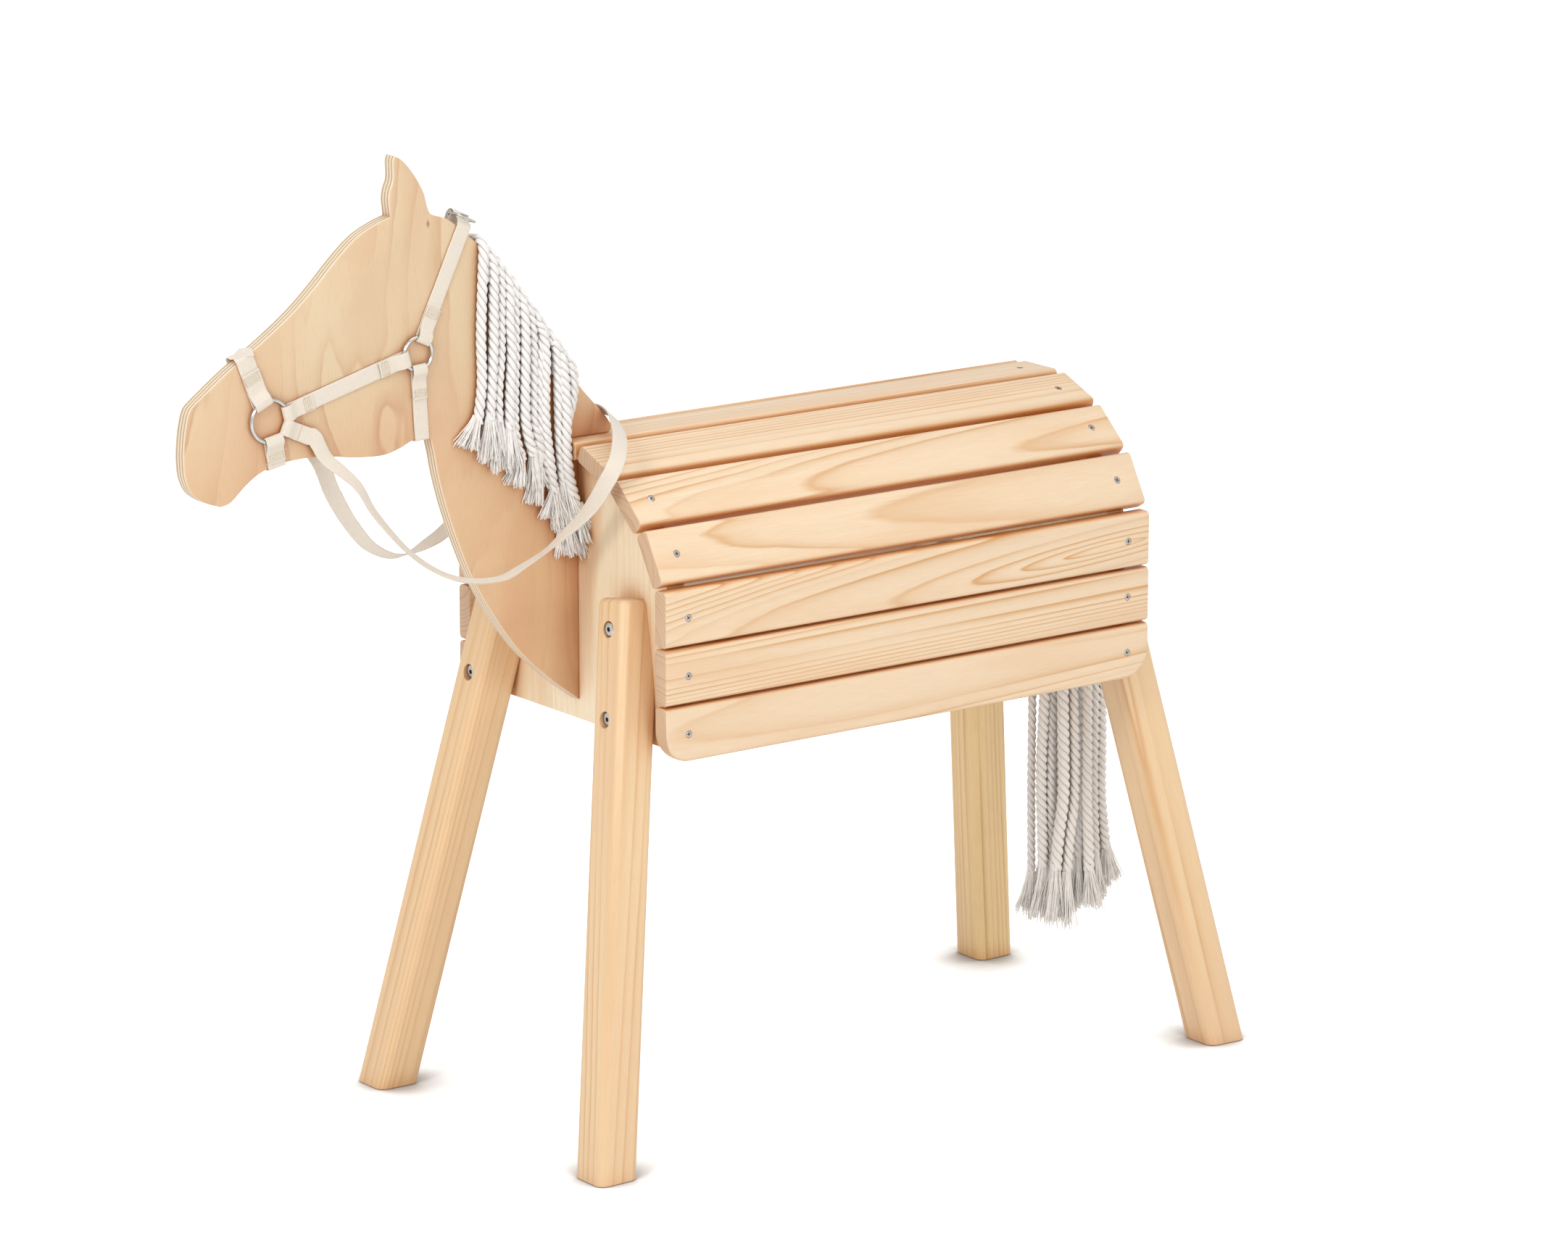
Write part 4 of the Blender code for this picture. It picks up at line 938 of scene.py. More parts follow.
def guide(points, gap):
    """An evenly spaced line: points, distances along it and its two normals."""
    points = np.array(points, float)
    run = lengths(points)
    count = max(4, int(round(run[-1] / gap)))
    s = np.linspace(0, run[-1], count + 1)
    line = np.stack([np.interp(s, run, points[:, i]) for i in range(3)], axis=1)
    return (line, s) + frames(line)[1:]


def tube_faces(rings, around):
    i = np.arange(rings - 1)[:, None] * around
    k = np.arange(around)[None, :]
    k2 = (k + 1) % around
    return np.stack([i + k, i + k2, i + around + k2, i + around + k], axis=-1).reshape(-1, 4)


def tube_points(line, normals, binormals, radius, turn):
    """Radius and turn broadcast over (points along, points around)."""
    out = (np.cos(turn)[..., None] * normals[:, None, :]
           + np.sin(turn)[..., None] * binormals[:, None, :])
    return (line[:, None, :] + radius[..., None] * out).reshape(-1, 3)


def quad_uvs(across, s):
    along = np.repeat(s[:, None], across.shape[1], axis=1)
    grid = np.stack([across, along], -1)
    return np.stack([grid[:-1, :-1], grid[:-1, 1:], grid[1:, 1:], grid[1:, :-1]],
                    axis=2).reshape(-1, 2)


def turns(count):
    return 2 * np.pi * np.arange(count) / count


ROPE_AROUND = 36
STRAND_OUT, STRAND_RADIUS = 0.43, 0.57      # of the rope's radius


def rope(mesh, path, radius, lay, phase, part=slice(None)):
    """Three-strand rope along part of a path; lay is the length of a full twist.
    Parts of one path join, as their strands run on."""
    line, s, normals, binormals = (column[part] for column in path)
    turn = turns(ROPE_AROUND)
    in_strand = ((turn + np.pi / 3) % (2 * np.pi / 3)) - np.pi / 3
    section = STRAND_OUT * np.cos(in_strand) + np.sqrt(
        np.maximum(STRAND_RADIUS ** 2 - (STRAND_OUT * np.sin(in_strand)) ** 2, 0.02))
    angle = turn[None, :] + (phase - 2 * np.pi * s / lay)[:, None]
    verts = tube_points(line, normals, binormals, (radius * section)[None, :], angle)
    rings = len(s)
    around = angle / (2 * np.pi)
    uvs = quad_uvs(np.concatenate([around, around[:, :1] + 1.0], axis=1), s)
    grooves = np.tile((1.0 - section) / (1.0 - section.min()), rings)
    # end caps: one extra point each, quads folded round it
    k = np.arange(0, ROPE_AROUND, 2)
    last = (rings - 1) * ROPE_AROUND
    k1, k2 = (k + 1) % ROPE_AROUND, (k + 2) % ROPE_AROUND
    start_cap = np.stack([np.full(len(k), len(verts)), k2, k1, k], axis=1)
    end_cap = np.stack([np.full(len(k), len(verts) + 1), last + k, last + k1, last + k2], axis=1)
    mesh.add(np.concatenate([verts, line[:1], line[-1:]]),
             np.concatenate([tube_faces(rings, ROPE_AROUND), start_cap, end_cap]),
             np.concatenate([uvs, np.zeros((len(k) * 8, 2))]),
             np.concatenate([grooves, [0.5, 0.5]]))


YARN_RADIUS, YARN_STEPS, THIN_AROUND = 0.80, 10, 5
FRAY_MIN_X = 11.4                     # keeps the mane's fray off the head board


def yarns(mesh, root, down, radius, length, count, spread, rnd, bias, side=0):
    """Loose yarns at a rope's cut end: they start inside it, in the three strands'
    clumps, and open out, each with its own kink.  A side keeps them beyond
    FRAY_MIN_X on it."""
    down = np.array(down, float)
    down /= np.linalg.norm(down)
    across = np.array([1.0, 0, 0]) - down * down[0]
    across /= np.linalg.norm(across)
    deep = np.cross(down, across)

    def outward(angle):
        return across * math.cos(angle) + deep * math.sin(angle)

    start = rnd.uniform(0, 6.28)
    clumps = [(outward(start + 2.094 * k + rnd.uniform(-0.3, 0.3)), rnd.uniform(0.5, 1.3),
               rnd.uniform(0.88, 1.0)) for k in range(3)]
    t = np.linspace(0, 1, YARN_STEPS + 1)
    rings = len(t)
    end, tip = (rings - 1) * THIN_AROUND, rings * THIN_AROUND
    faces = np.concatenate([tube_faces(rings, THIN_AROUND),
                            [[end, end + 1, end + 2, tip], [end + 2, end + 3, end + 4, tip]]])
    for j in range(count):
        clump, opening, trim = clumps[j % 3]
        angle, ratio = rnd.uniform(0, 2 * math.pi), math.sqrt(rnd.random())
        offset = outward(angle) * ratio * 0.54 + clump * 0.46
        stray = rnd.random() < 0.07
        yarn_length = length * trim * rnd.uniform(0.84, 1.03)
        drift = offset * spread * rnd.uniform(0.7, 1.5) * (2.2 if stray else 1.0)
        drift = drift + clump * opening * spread * 0.5 + np.array(bias) * rnd.uniform(0.55, 1.3)
        line = (root + offset * radius * 0.92 + down * (t * yarn_length)[:, None]
                + drift * (t ** 1.4)[:, None])
        # a slow kink and a quick one: (size range, turns range, direction)
        kinks = []
        for sizes, waves, aside in (((0.5, 1.5), (0.8, 1.6), 1.4), ((0.2, 0.6), (2.2, 4.0), 2.9)):
            size, phase, wave = rnd.uniform(*sizes), rnd.uniform(0, 6.3), rnd.uniform(*waves)
            kinks.append(outward(angle + aside)
                         * (np.sin(t * wave * 6.283 + phase) * size * t)[:, None])
        line = line + kinks[0] + kinks[1]
        if side:
            line[:, 0] = np.where(line[:, 0] * side < FRAY_MIN_X, FRAY_MIN_X * side, line[:, 0])
        tangents, normals, binormals = frames(line)
        radii = YARN_RADIUS * rnd.uniform(0.75, 1.2) * (1.0 - 0.35 * t ** 3)
        verts = tube_points(line, normals, binormals, radii[:, None], turns(THIN_AROUND)[None, :])
        point = line[-1] + tangents[-1] * radii[-1] * 0.8
        mesh.add(np.concatenate([verts, point[None, :]]), faces)


# -------------------------------------------------------------------- the mane
CREST_TOP, CREST_LOW = np.array([0.0, -120.3, 1119.1]), np.array([0.0, 23.0, 935.5])
CREST_RUN = (CREST_LOW - CREST_TOP) / np.linalg.norm(CREST_LOW - CREST_TOP)
INTO_NECK = np.array([0.0, CREST_RUN[2], -CREST_RUN[1]])
CREST_CURVE = sorted(catmull(CREST + POLL[1:4], 8))
CREST_EDGE = 2.3                      # rounding the ropes follow at the board's edges
CREST_SIDE = 8.3                      # x of that rounding's centre
MANE_RADIUS, CROSSING_RADIUS, FILLER_RADIUS = 6.75, 6.3, 4.9
# rope by rope: the y where it crosses the crest, the (z, y, x) it passes on its
# way down to where it frays, and the (y, z) of its tip
MANE = [
    (-119.5, ((1100, -121, 17.5), (1060, -123, 17.2), (1010, -125, 17.2), (955, -124.5, 17.4),
              (905, -131, 17.6)), (-146, 873)),
    (-108.0, ((1090, -107, 19), (1050, -108, 19.5), (1000, -108.5, 19.5), (945, -112, 19.5),
              (908, -115, 19.5)), (-123, 853)),
    (-97.0, ((1075, -95, 17.5), (1040, -96, 17.2), (985, -97, 17.2), (940, -101, 17.2),
             (903, -101, 17.5)), (-100, 838)),
    (-86.0, ((1060, -84.5, 19.5), (1025, -85, 20.2), (990, -82.5, 20.2), (935, -85.5, 20.2),
             (893, -87, 20)), (-85, 841)),
    (-76.0, ((1048, -75.5, 17.2), (980, -75.5, 16.9), (925, -78, 16.9), (886, -77, 17.5),
             (852, -68, 18.5)), (-79, 817)),
    (-66.0, ((1038, -64, 19.5), (1005, -62.5, 20.5), (950, -63.5, 20.5), (905, -63.5, 20.5),
             (876, -58, 20.5), (857, -52, 20.5)), (-48, 812)),
    (-54.5, ((1020, -51.5, 17.5), (990, -49.5, 17.2), (930, -49.5, 17.2), (898, -49.5, 17.5),
             (866, -43, 18), (846, -42, 18)), (-49, 792)),
    (-42.5, ((1005, -36, 19.5), (975, -32.5, 20.5), (945, -33.5, 20.5), (895, -34, 20.5),
             (835, -26, 20.5), (803, -21.5, 20)), (-29, 769)),
    (-34.5, ((990, -38, 17.0), (930, -41, 16.9), (870, -38, 16.9), (812, -24, 17.2)),
     (-14, 750)),
    (-21.0, ((988, -17.5, 19), (958, -15, 20), (928, -14, 20), (870, -13, 20),
             (817, -8, 20)), (2, 755)),
    (-10.0, ((972, -9, 20.5), (941, -7, 24), (900, -6.5, 26.5), (868, -7.5, 27),
             (840, -5.5, 27), (815, -1.5, 27), (780, 9, 27)), (19, 741)),
    (0.5, ((958, 3, 19), (940, 6, 20.2), (915, 4, 21), (890, -3, 20.8), (870, -7.8, 20.5),
           (830, -8, 19), (782, -6, 18)), (-3, 722)),
    (11.0, ((946, 11, 17.5), (928, 10, 17.4), (905, 5, 17.2), (888, -2, 17.2),
            (873, -7.8, 17.2), (830, -7.6, 17.2), (775, 3, 17.5)), (12, 716))]
MANE_GROUPS = [("front", range(0, 4)), ("middle", range(4, 9)), ("rear", range(9, 13))]


def crest_z(y):
    return float(np.interp(y, [p[0] for p in CREST_CURVE], [p[1] for p in CREST_CURVE]))


def over_crest(y, radius, side):
    """From the crest's middle over its rounded edge to one side."""
    z = crest_z(y)
    steep = 1.0 / abs(CREST_RUN[1])
    points = [(side * x, y, z + radius * steep) for x in (0.0, 4.5)]
    for angle in (5, 30, 55, 80):
        turn = math.radians(angle)
        reach = radius + CREST_EDGE
        points.append((side * (CREST_SIDE + reach * math.sin(turn)), y,
                       z + (-CREST_EDGE + reach * math.cos(turn)) * steep))
    return points


def hanging(index, side, wobble, drop, rnd):
    """One side of a mane rope; drop moves its last point up or down."""
    crossing, way, _ = MANE[index]
    points = over_crest(crossing, CROSSING_RADIUS, side)
    for z, y, x in way:
        if side < 0:
            y = min(y, 1.0 if z < 900 else 12.0)
        points.append((side * (x + rnd.uniform(0, wobble)),
                       y + rnd.uniform(-wobble, wobble) * (0.3 if z > 880 or y > -12 else 1.0),
                       z))
    x, y, z = points[-1]
    points[-1] = (x, y, z + drop)
    return points


def halves(path):
    """The path's left and right parts, meeting over the crest."""
    middle = int(np.argmin(np.abs(path[0][:, 0])))
    return (1, slice(0, middle + 1)), (-1, slice(middle, None))


def mane_rope(index, group, ropes, frays, rnd):
    radius = MANE_RADIUS + rnd.uniform(-0.2, 0.2)
    left = hanging(index, 1, 0.4, 0.0, rnd)
    drop = rnd.uniform(-7, 7)
    right = hanging(index, -1, 1.0, drop, rnd)
    path = guide(catmull(left[::-1] + right[1:], 7), 1.5)
    phase = rnd.uniform(0, 6.28)
    lay = 33.0 + rnd.uniform(-1.5, 2.5)
    for side, part in halves(path):
        rope(ropes[side], path, radius, lay, phase, part)
    tip_y, tip_z = MANE[index][2]
    right_tip_y = min(-2.0, tip_y) + rnd.uniform(-3, 3)
    for side, end, y, z in ((1, path[0][0], tip_y, tip_z),
                            (-1, path[0][-1], right_tip_y, tip_z + drop)):
        root = end + np.array([0, 0, 10.0])
        lean = (y - end[1]) / max(20.0, end[2] - z)
        if side < 0 and group == "rear":
            spread = 5.2
        else:
            spread = 6.2 if group == "middle" or side < 0 else 7.4
        if index == 10 and side > 0:
            outward = 5.0
        else:
            outward = 0.3 if group == "middle" else 1.8
        yarns(frays[side], root, down=(0, lean * 0.6, -1), radius=6.2, length=root[2] - z,
              count=124, spread=spread, rnd=random.Random(500 + index * 2 + side),
              bias=(side * outward, (y - end[1]) * 0.42, 0), side=side)


def mane_filler(index, ropes, rnd):
    """A thinner turn of rope on the crest between two outer ones."""
    y = 0.5 * (MANE[index][0] + MANE[index + 1][0]) - 0.5
    left, right = (over_crest(y, FILLER_RADIUS, side)
                   + [(side * 15.2, y - 0.4, crest_z(y) - below) for below in (14.0, 24.0, 34.0)]
                   for side in (1, -1))
    path = guide(catmull(left[::-1] + right[1:], 5), 1.8)
    for side, part in halves(path):
        rope(ropes[side], path, FILLER_RADIUS, 30.0, rnd.uniform(0, 6), part)


def mane():
    for group, members in MANE_GROUPS:
        ropes = {1: TubeMesh(), -1: TubeMesh()}
        frays = {1: TubeMesh(), -1: TubeMesh()}
        for index in members:
            rnd = random.Random(100 + index)
            mane_rope(index, group, ropes, frays, rnd)
            if index + 1 < len(MANE):
                mane_filler(index, ropes, rnd)
        y = np.mean([MANE[i][0] for i in members])
        crest = np.array([0.0, y, crest_z(y)])
        for side, hand in ((1, "left"), (-1, "right")):
            tag = "%s_%s" % (hand, group)
            body = "mane_lock_" + tag
            nodes = [body] + (["mane_crest"] if tag == "left_middle" else [])
            obj = ropes[side].build("mane_ropes_" + tag, MANE_ROPE)
            put(*(crest + INTO_NECK * 2.0))
            put(*(crest + INTO_NECK * 18.0))
            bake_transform(obj)
            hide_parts(*nodes)
            attach(frays[side].build("mane_fray_" + tag, MANE_FRAY), body, slot="cotton_rope")


mane()

# -------------------------------------------------------------------- the tail
VIEW_X, VIEW_Y = 0.596, 0.803         # the camera's rightward direction
TAIL_Y, TAIL_HOLE_Z = 808.0, 786.0    # the hanging tail's middle, its hole's height
# offsets in x, as the camera sees them, at three heights; the distance towards the
# camera; radius; height where it frays; the tip's offset and height
TAILS = [(-79, -80, -78, 4, 5.4, 178, -88, 117), (-53, -59, -54, 24, 7.0, 192, -68, 116),
         (-39, -39, -41, 8, 6.3, 204, -52, 128), (-15, -12, -27, 40, 7.7, 192, -32, 115),
         (8, 14, -1, 33, 6.7, 188, -5, 110), (22, 20, 22, 14, 6.2, 203, 20, 126),
         (39, 40, 47, 34, 6.9, 190, 62, 139), (58, 57, 62, 12, 6.3, 205, 68, 144),
         (72, 74, 86, 6, 6.7, 212, 95, 166), (-48, -54, -50, -10, 6.2, 200, -60, 125),
         (-27, -25, -18, -14, 6.3, 196, -20, 120), (-2, 0, 5, -4, 6.3, 198, 8, 118),
         (32, 30, 33, -22, 6.3, 200, 40, 134), (49, 50, 54, -12, 6.2, 204, 52, 140),
         (66, 68, 75, -16, 6.3, 206, 80, 152), (10, 8, 11, -36, 6.3, 194, 14, 130),
         (-12, -13, -10, -34, 6.3, 190, -16, 126), (24, 27, 26, -4, 6.3, 200, 34, 128),
         (-36, -38, -34, 20, 6.2, 198, -42, 122)]


def tail_place(offset, nearer):
    """(x, y) of an offset seen across the view, moved nearer the camera."""
    across = VIEW_X * offset
    return (VIEW_X * across + VIEW_Y * nearer, TAIL_Y + VIEW_Y * across - VIEW_X * nearer)


def tail_rope(index, ropes, fray):
    high, middle, low, nearer, radius, fray_z, tip, tip_z = TAILS[index]
    rnd = random.Random(900 + index)
    x, y = tail_place(high, nearer)
    dy = y - TAIL_Y
    hole_x, hole_z = x * 0.18, TAIL_HOLE_Z + dy * 0.20
    lift = 6.0 + dy * 0.32
    # out of the hole and over into the fall
    points = [(hole_x * 0.9, 742.0, TAIL_HOLE_Z + dy * 0.20 * 0.8), (hole_x, 762.0, hole_z),
              (x * 0.45, 776.0 + dy * 0.25, 783.0 + lift * 0.8),
              (x * 0.78, 793.0 + dy * 0.62, 764.0 + lift * 1.2),
              (x * 0.95, 804.0 + dy * 0.88, 728.0 + lift)]
    # height, offset, how much the offset strays
    for z, offset, stray in ((670.0, high, 0.5), (600.0, high, 1.0), (520.0, high, 0.7),
                             (450.0, high, 0.5), (400.0, high * 0.6 + middle * 0.4, 0.3),
                             (345.0, middle, 0.3), (290.0, middle, 0.5),
                             (240.0, middle * 0.4 + low * 0.6, 0.3), (fray_z, low, 0.0)):
        offset += rnd.uniform(-1.0, 1.0) * stray
        points.append((*tail_place(offset, nearer + rnd.uniform(-1.5, 1.5)), z))
    path = guide(catmull(points, 5), 1.7)
    rope(ropes, path, radius * 1.07, 33.0 + rnd.uniform(-2, 2), rnd.uniform(0, 6.28))
    end = path[0][-1]
    tip_x, tip_y = tail_place(tip, nearer)
    root = end + np.array([0, 0, 9.0])
    off = np.array([tip_x - end[0], tip_y - end[1], 0.0])
    yarns(fray, root, down=(off[0] * 0.5, off[1] * 0.5, tip_z - end[2]), radius=radius * 0.94,
          length=root[2] - tip_z, count=108, spread=8.0, rnd=random.Random(1200 + index),
          bias=off * 0.5)


def tail_binding():
    """The wrapping where the ropes leave the bulkhead, the coil inside it and the
    seven short ropes that run through both."""
    mesh = TubeMesh()
    points = []
    for k in range(7 * 24 + 1):
        turn = 2 * math.pi * k / 24
        points.append((16.2 * math.cos(turn), 737.5 + 3.3 * k / 24,
                       TAIL_HOLE_Z + 16.2 * math.sin(turn)))
    rope(mesh, guide(points, 2.2), radius=1.9, lay=9.0, phase=0.0)
    points = []
    for k in range(3 * 24 + 1):
        turn = 2 * math.pi * k / 24
        coil = 15.0 + 1.2 * math.sin(turn / 3)
        points.append((coil * math.cos(turn), 702.5 - 4.5 * (k / 72.0) + 2.2 * math.sin(turn * 1.5),
                       TAIL_HOLE_Z + coil * math.sin(turn)))
    rope(mesh, guide(points, 2.2), radius=5.6, lay=26.0, phase=0.0)
    for k in range(7):
        turn = 2 * math.pi * k / 6
        out = 0.0 if k == 6 else 7.4
        x, z = out * math.cos(turn), out * math.sin(turn)
        points = [(x * flare, y, TAIL_HOLE_Z + z * flare)
                  for y, flare in ((699.0, 1.0), (720.0, 1.0), (745.0, 1.0), (760.0, 1.2))]
        rope(mesh, guide(points, 2.0), radius=4.3, lay=22.0, phase=k * 1.1)
    attach(mesh.build("tail_binding", TAIL_ROPE_PAINTED_LIGHT), "tail_knot", "tail_knot", slot="tail_rope")


def tail():
    ropes = [TubeMesh() for _ in range(3)]
    frays = [TubeMesh() for _ in range(2)]
    for index in range(len(TAILS)):
        tail_rope(index, ropes[index % 3], frays[index % 2])
    for tag, mesh in zip("abc", ropes):
        obj = mesh.build("tail_ropes_" + tag, TAIL_ROPE_PAINTED_LIGHT)
        put(0, 758, 792)
        put(0, 786, 764)
        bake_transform(obj)
        if tag == "a":
            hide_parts("tail_ropes")
    for tag, mesh in zip("ab", frays):
        attach(mesh.build("tail_fray_" + tag, TAIL_FRAY_PAINTED_LIGHT), "tail_ropes", slot="tail_rope")
    tail_binding()


tail()

# ==================================================================== webbing
# A strap is laid out from a ring's centre: x, distance s along the strap's angle
# (degrees in the y-z plane) and offset w across it.
THICK, WIDTH, NOSE_WIDTH = 1.8, 20.5, 25.0
WIRE = 2.4                            # radius of the rings' wire
NOSE_RING, CHEEK_RING = (-426.0, 945.0, 25.7), (-215.0, 1001.0, 20.1)     # y, z, radius
RING_X = 15.5
INNER_X = HEAD_HALF + 0.35 + THICK / 2      # the layer against the board
OUTER_X = INNER_X + THICK + 0.25            # the layer folded over it


def tape_section():
    """(share of the width, rounding outwards, through) round flat faces and edges."""
    section = []
    for face, edge in ((1.0, 0.5), (-1.0, -0.5)):
        section += [(face * (-0.5 + k / 7), 0.0, face) for k in range(8)]
        for k in range(1, 4):
            turn = math.radians(90 * face - 45 * k)
            section.append((edge, math.cos(turn), math.sin(turn)))
    return section


def tape(knots, name, fine=3, seed=1):
    """Webbing through (x, y, z, width direction x, y, z, width) knots; UVs in mm."""
    points = np.array(catmull(knots, fine))
    keep = [0]
    for i in range(1, len(points)):
        if np.linalg.norm(points[i, :3] - points[keep[-1], :3]) > 0.35:
            keep.append(i)
    line, wide, width = points[keep, :3], points[keep, 3:6], points[keep, 6]
    tangents = directions(line)
    wide = wide - tangents * np.sum(wide * tangents, axis=1)[:, None]
    wide /= np.linalg.norm(wide, axis=1)[:, None]
    normals = np.cross(tangents, wide)
    s = lengths(line)
    section = tape_section()
    rings, around = len(line), len(section)
    waver = 0.12 * np.sin(s * 0.41 + seed) + 0.08 * np.sin(s * 1.13 + seed * 2)
    grid = np.zeros((rings, around, 3))
    u = np.zeros((rings, around))
    for k, (share, rounding, through) in enumerate(section):
        across = share * (width - THICK) + rounding * THICK / 2 + np.sign(share) * waver
        grid[:, k] = line + wide * across[:, None] + normals * (through * THICK / 2)
        u[:, k] = across + (0.0 if through >= 0 else 40.0)
    uvs = quad_uvs(np.concatenate([u, u[:, :1]], axis=1), s)
    bm = bmesh.new()
    verts = [bm.verts.new(put(*p)) for p in grid.reshape(-1, 3)]
    layer = bm.loops.layers.uv.new("UVMap")
    for i, corners in enumerate(tube_faces(rings, around)):
        face = bm.faces.new([verts[c] for c in corners])
        for j, loop in enumerate(face.loops):
            loop[layer].uv = uvs[i * 4 + j]
    for row in (0, rings - 1):
        face = bm.faces.new(verts[row * around:(row + 1) * around])
        for k, loop in enumerate(face.loops):
            loop[layer].uv = (u[row, k], s[row])
    return from_bm(bm, name, [WEBBING], 50)


def strap_axis(ring, angle):
    """A function placing (x, s, w), and the width direction."""
    c, d = math.cos(math.radians(angle)), math.sin(math.radians(angle))

    def at(x, s, w=0.0):
        return (x, ring[0] + c * s + d * w, ring[1] + d * s - c * w)
    return at, (0.0, d, -c)


def fold(ring, inner, outer, width, end):
    """(x, s, width) of a strap's end, folded from the outer layer round the ring's
    wire to the inner one."""
    radius = ring[2]
    narrow = width * 0.985
    sag = radius - math.sqrt(radius * radius - narrow * narrow / 4)
    turn_x = WIRE + 0.25 + THICK / 2
    turn_s = turn_x + sag / 2 + 0.15
    middle = radius - sag / 2
    points = [(outer, radius + end, width), (outer, radius + end * 0.6, width),
              (outer + 0.1, radius + 15, width), (outer + 1.5, radius + 10, width * 0.97),
              (RING_X + turn_x, radius + 3.5, narrow)]
    for k in range(7):
        turn = math.radians(-180 * k / 6)
        points.append((RING_X + turn_x * math.cos(turn), middle + turn_s * math.sin(turn), narrow))
    return points + [(inner + 0.1, radius + 6, narrow), (inner, radius + 13, width),
                     (inner, radius + 22, width)]


def strap_knots(ring, angle, points, side=1, slant=None):
    """Tape knots; slant = (from s, to s, offset there, further offset over the edge)."""
    at, wide = strap_axis(ring, angle)
    knots = []
    for x, s, width in points:
        shift = 0.0
        if slant:
            start, end, near, over = slant
            crossing = max(0.0, 1.0 - abs(x) / 11.5) if s > end - 2 else 0.0
            shift = near * min(1.0, max(0.0, (s - start) / (end - start))) + over * crossing
        knots.append(at(side * x, s, shift) + wide + (width,))
    return knots


stitching = TubeMesh()


def thread(points, radius):
    """A thin open tube with a point beyond each end."""
    line = np.array(points, float)
    tangents, normals, binormals = frames(line)
    radii = np.full(len(line), radius)
    radii[[0, -1]] *= 0.5
    verts = tube_points(line, normals, binormals, radii[:, None], turns(THIN_AROUND)[None, :])
    verts = np.concatenate([verts, line[:1] - tangents[:1] * radius * 0.3,
                            line[-1:] + tangents[-1:] * radius * 0.3])
    stitching.add(verts, tube_faces(len(line), THIN_AROUND))


def seam(ring, angle, side, x, start, end, seed, width=WIDTH):
    """Rows of stitches across a strap, one along each edge, and loose thread ends."""
    rnd = random.Random(seed)
    at, _ = strap_axis(ring, angle)
    x = side * (x + THICK / 2 + 0.12)

    def row(a, b):
        count = max(2, int(math.hypot(b[0] - a[0], b[1] - a[1]) / 2.5))
        for k in range(count):
            t0, t1 = (k + 0.12) / count, (k + 0.88) / count
            points = []
            for q in range(5):
                t = t0 + (t1 - t0) * q / 4
                lift = math.sin(math.pi * q / 4) * 0.22 - 0.12
                points.append(at(x + side * lift, a[0] + (b[0] - a[0]) * t,
                                 a[1] + (b[1] - a[1]) * t))
            thread(points, 0.40)

    half = width / 2 - 2.0
    rows = max(3, int(round(abs(end - start) / 2.4)))
    for k in range(rows + 1):
        s = start + (end - start) * k / rows
        row((s, -half), (s, half))
    for w in (-half, half):
        row((start, w), (end, w))
    for edge, s in ((1, end), (-1, start)):
        if rnd.random() < 0.75:
            along, curl = rnd.uniform(-0.5, 0.5), rnd.uniform(-0.6, 0.6)
            thread([at(x + side * 1.2 * math.sin(2.2 * t), s + along * 5 * t,
                       edge * (width / 2 - 0.5 + 4.0 * t + curl * t * t * 3))
                    for t in (q / 5 for q in range(6))], 0.34)


def board_reach(ring, angle, half):
    """How far the head's outline lies from a ring, within half a strap's width."""
    c, d = math.cos(math.radians(angle)), math.sin(math.radians(angle))
    best = 0.0
    for y, z in OUTLINE:
        y, z = y - ring[0], z - ring[1]
        if abs(y * d - z * c) <= half:
            best = max(best, y * c + z * d)
    return best


def over_edge(edge, width):
    """(x, s, width) from the board's side round its edge to the middle."""
    radius = 0.5 + THICK / 2
    points = [(INNER_X, edge - 10, width), (INNER_X, edge - 4, width)]
    for k in range(5):
        turn = math.radians(90 * k / 4)
        points.append((10.3 + radius * math.cos(turn), edge + 0.2 + radius * math.sin(turn), width))
    return points + [(5.0, edge + 0.3 + radius, width), (0.0, edge + 0.35 + radius, width)]


def loop_strap(name, ring, angle, width, end, seam_from, seam_to, slant=()):
    """A strap from the left ring over the board's edge to the right ring."""
    edge = board_reach(ring, angle, width / 2 + 0.3)
    half = fold(ring, INNER_X, OUTER_X, width, end) + over_edge(edge, width)
    slant = slant and (ring[2] + 6.0, edge, *slant)
    left, right = (strap_knots(ring, angle, half, side, slant) for side in (1, -1))
    attach(tape(left + right[::-1][1:], name + "_tape", seed=len(name)), "horse", name,
           slot="cotton_webbing")
    for side in (1, -1):
        seam(ring, angle, side, OUTER_X, ring[2] + seam_from, ring[2] + seam_to,
             seed=len(name) + side, width=width)


def halter_ring(name, side, ring):
    y, z, radius = ring
    rings = [[put(side * RING_X + p, y + (radius + q) * c, z + (radius + q) * s)
              for p, q in circle(16, WIRE)] for c, s in circle(72)]
    attach(from_bm(loft(rings, closed=True), name + "_wire", [NICKEL], 60), name, name,
           slot="nickel_steel")


for side, hand in ((1, "left"), (-1, "right")):
    halter_ring("nose_ring_" + hand, side, NOSE_RING)
    halter_ring("cheek_ring_" + hand, side, CHEEK_RING)

loop_strap("noseband", NOSE_RING, angle=114.0, width=NOSE_WIDTH, end=41.0,
           seam_from=27.0, seam_to=38.0, slant=(3.2, 6.0))
loop_strap("chin_strap", NOSE_RING, angle=-79.0, width=NOSE_WIDTH, end=26.0,
           seam_from=14.0, seam_to=23.5)
loop_strap("throat_strap", CHEEK_RING, angle=-86.4, width=WIDTH, end=36.0,
           seam_from=24.0, seam_to=33.0)


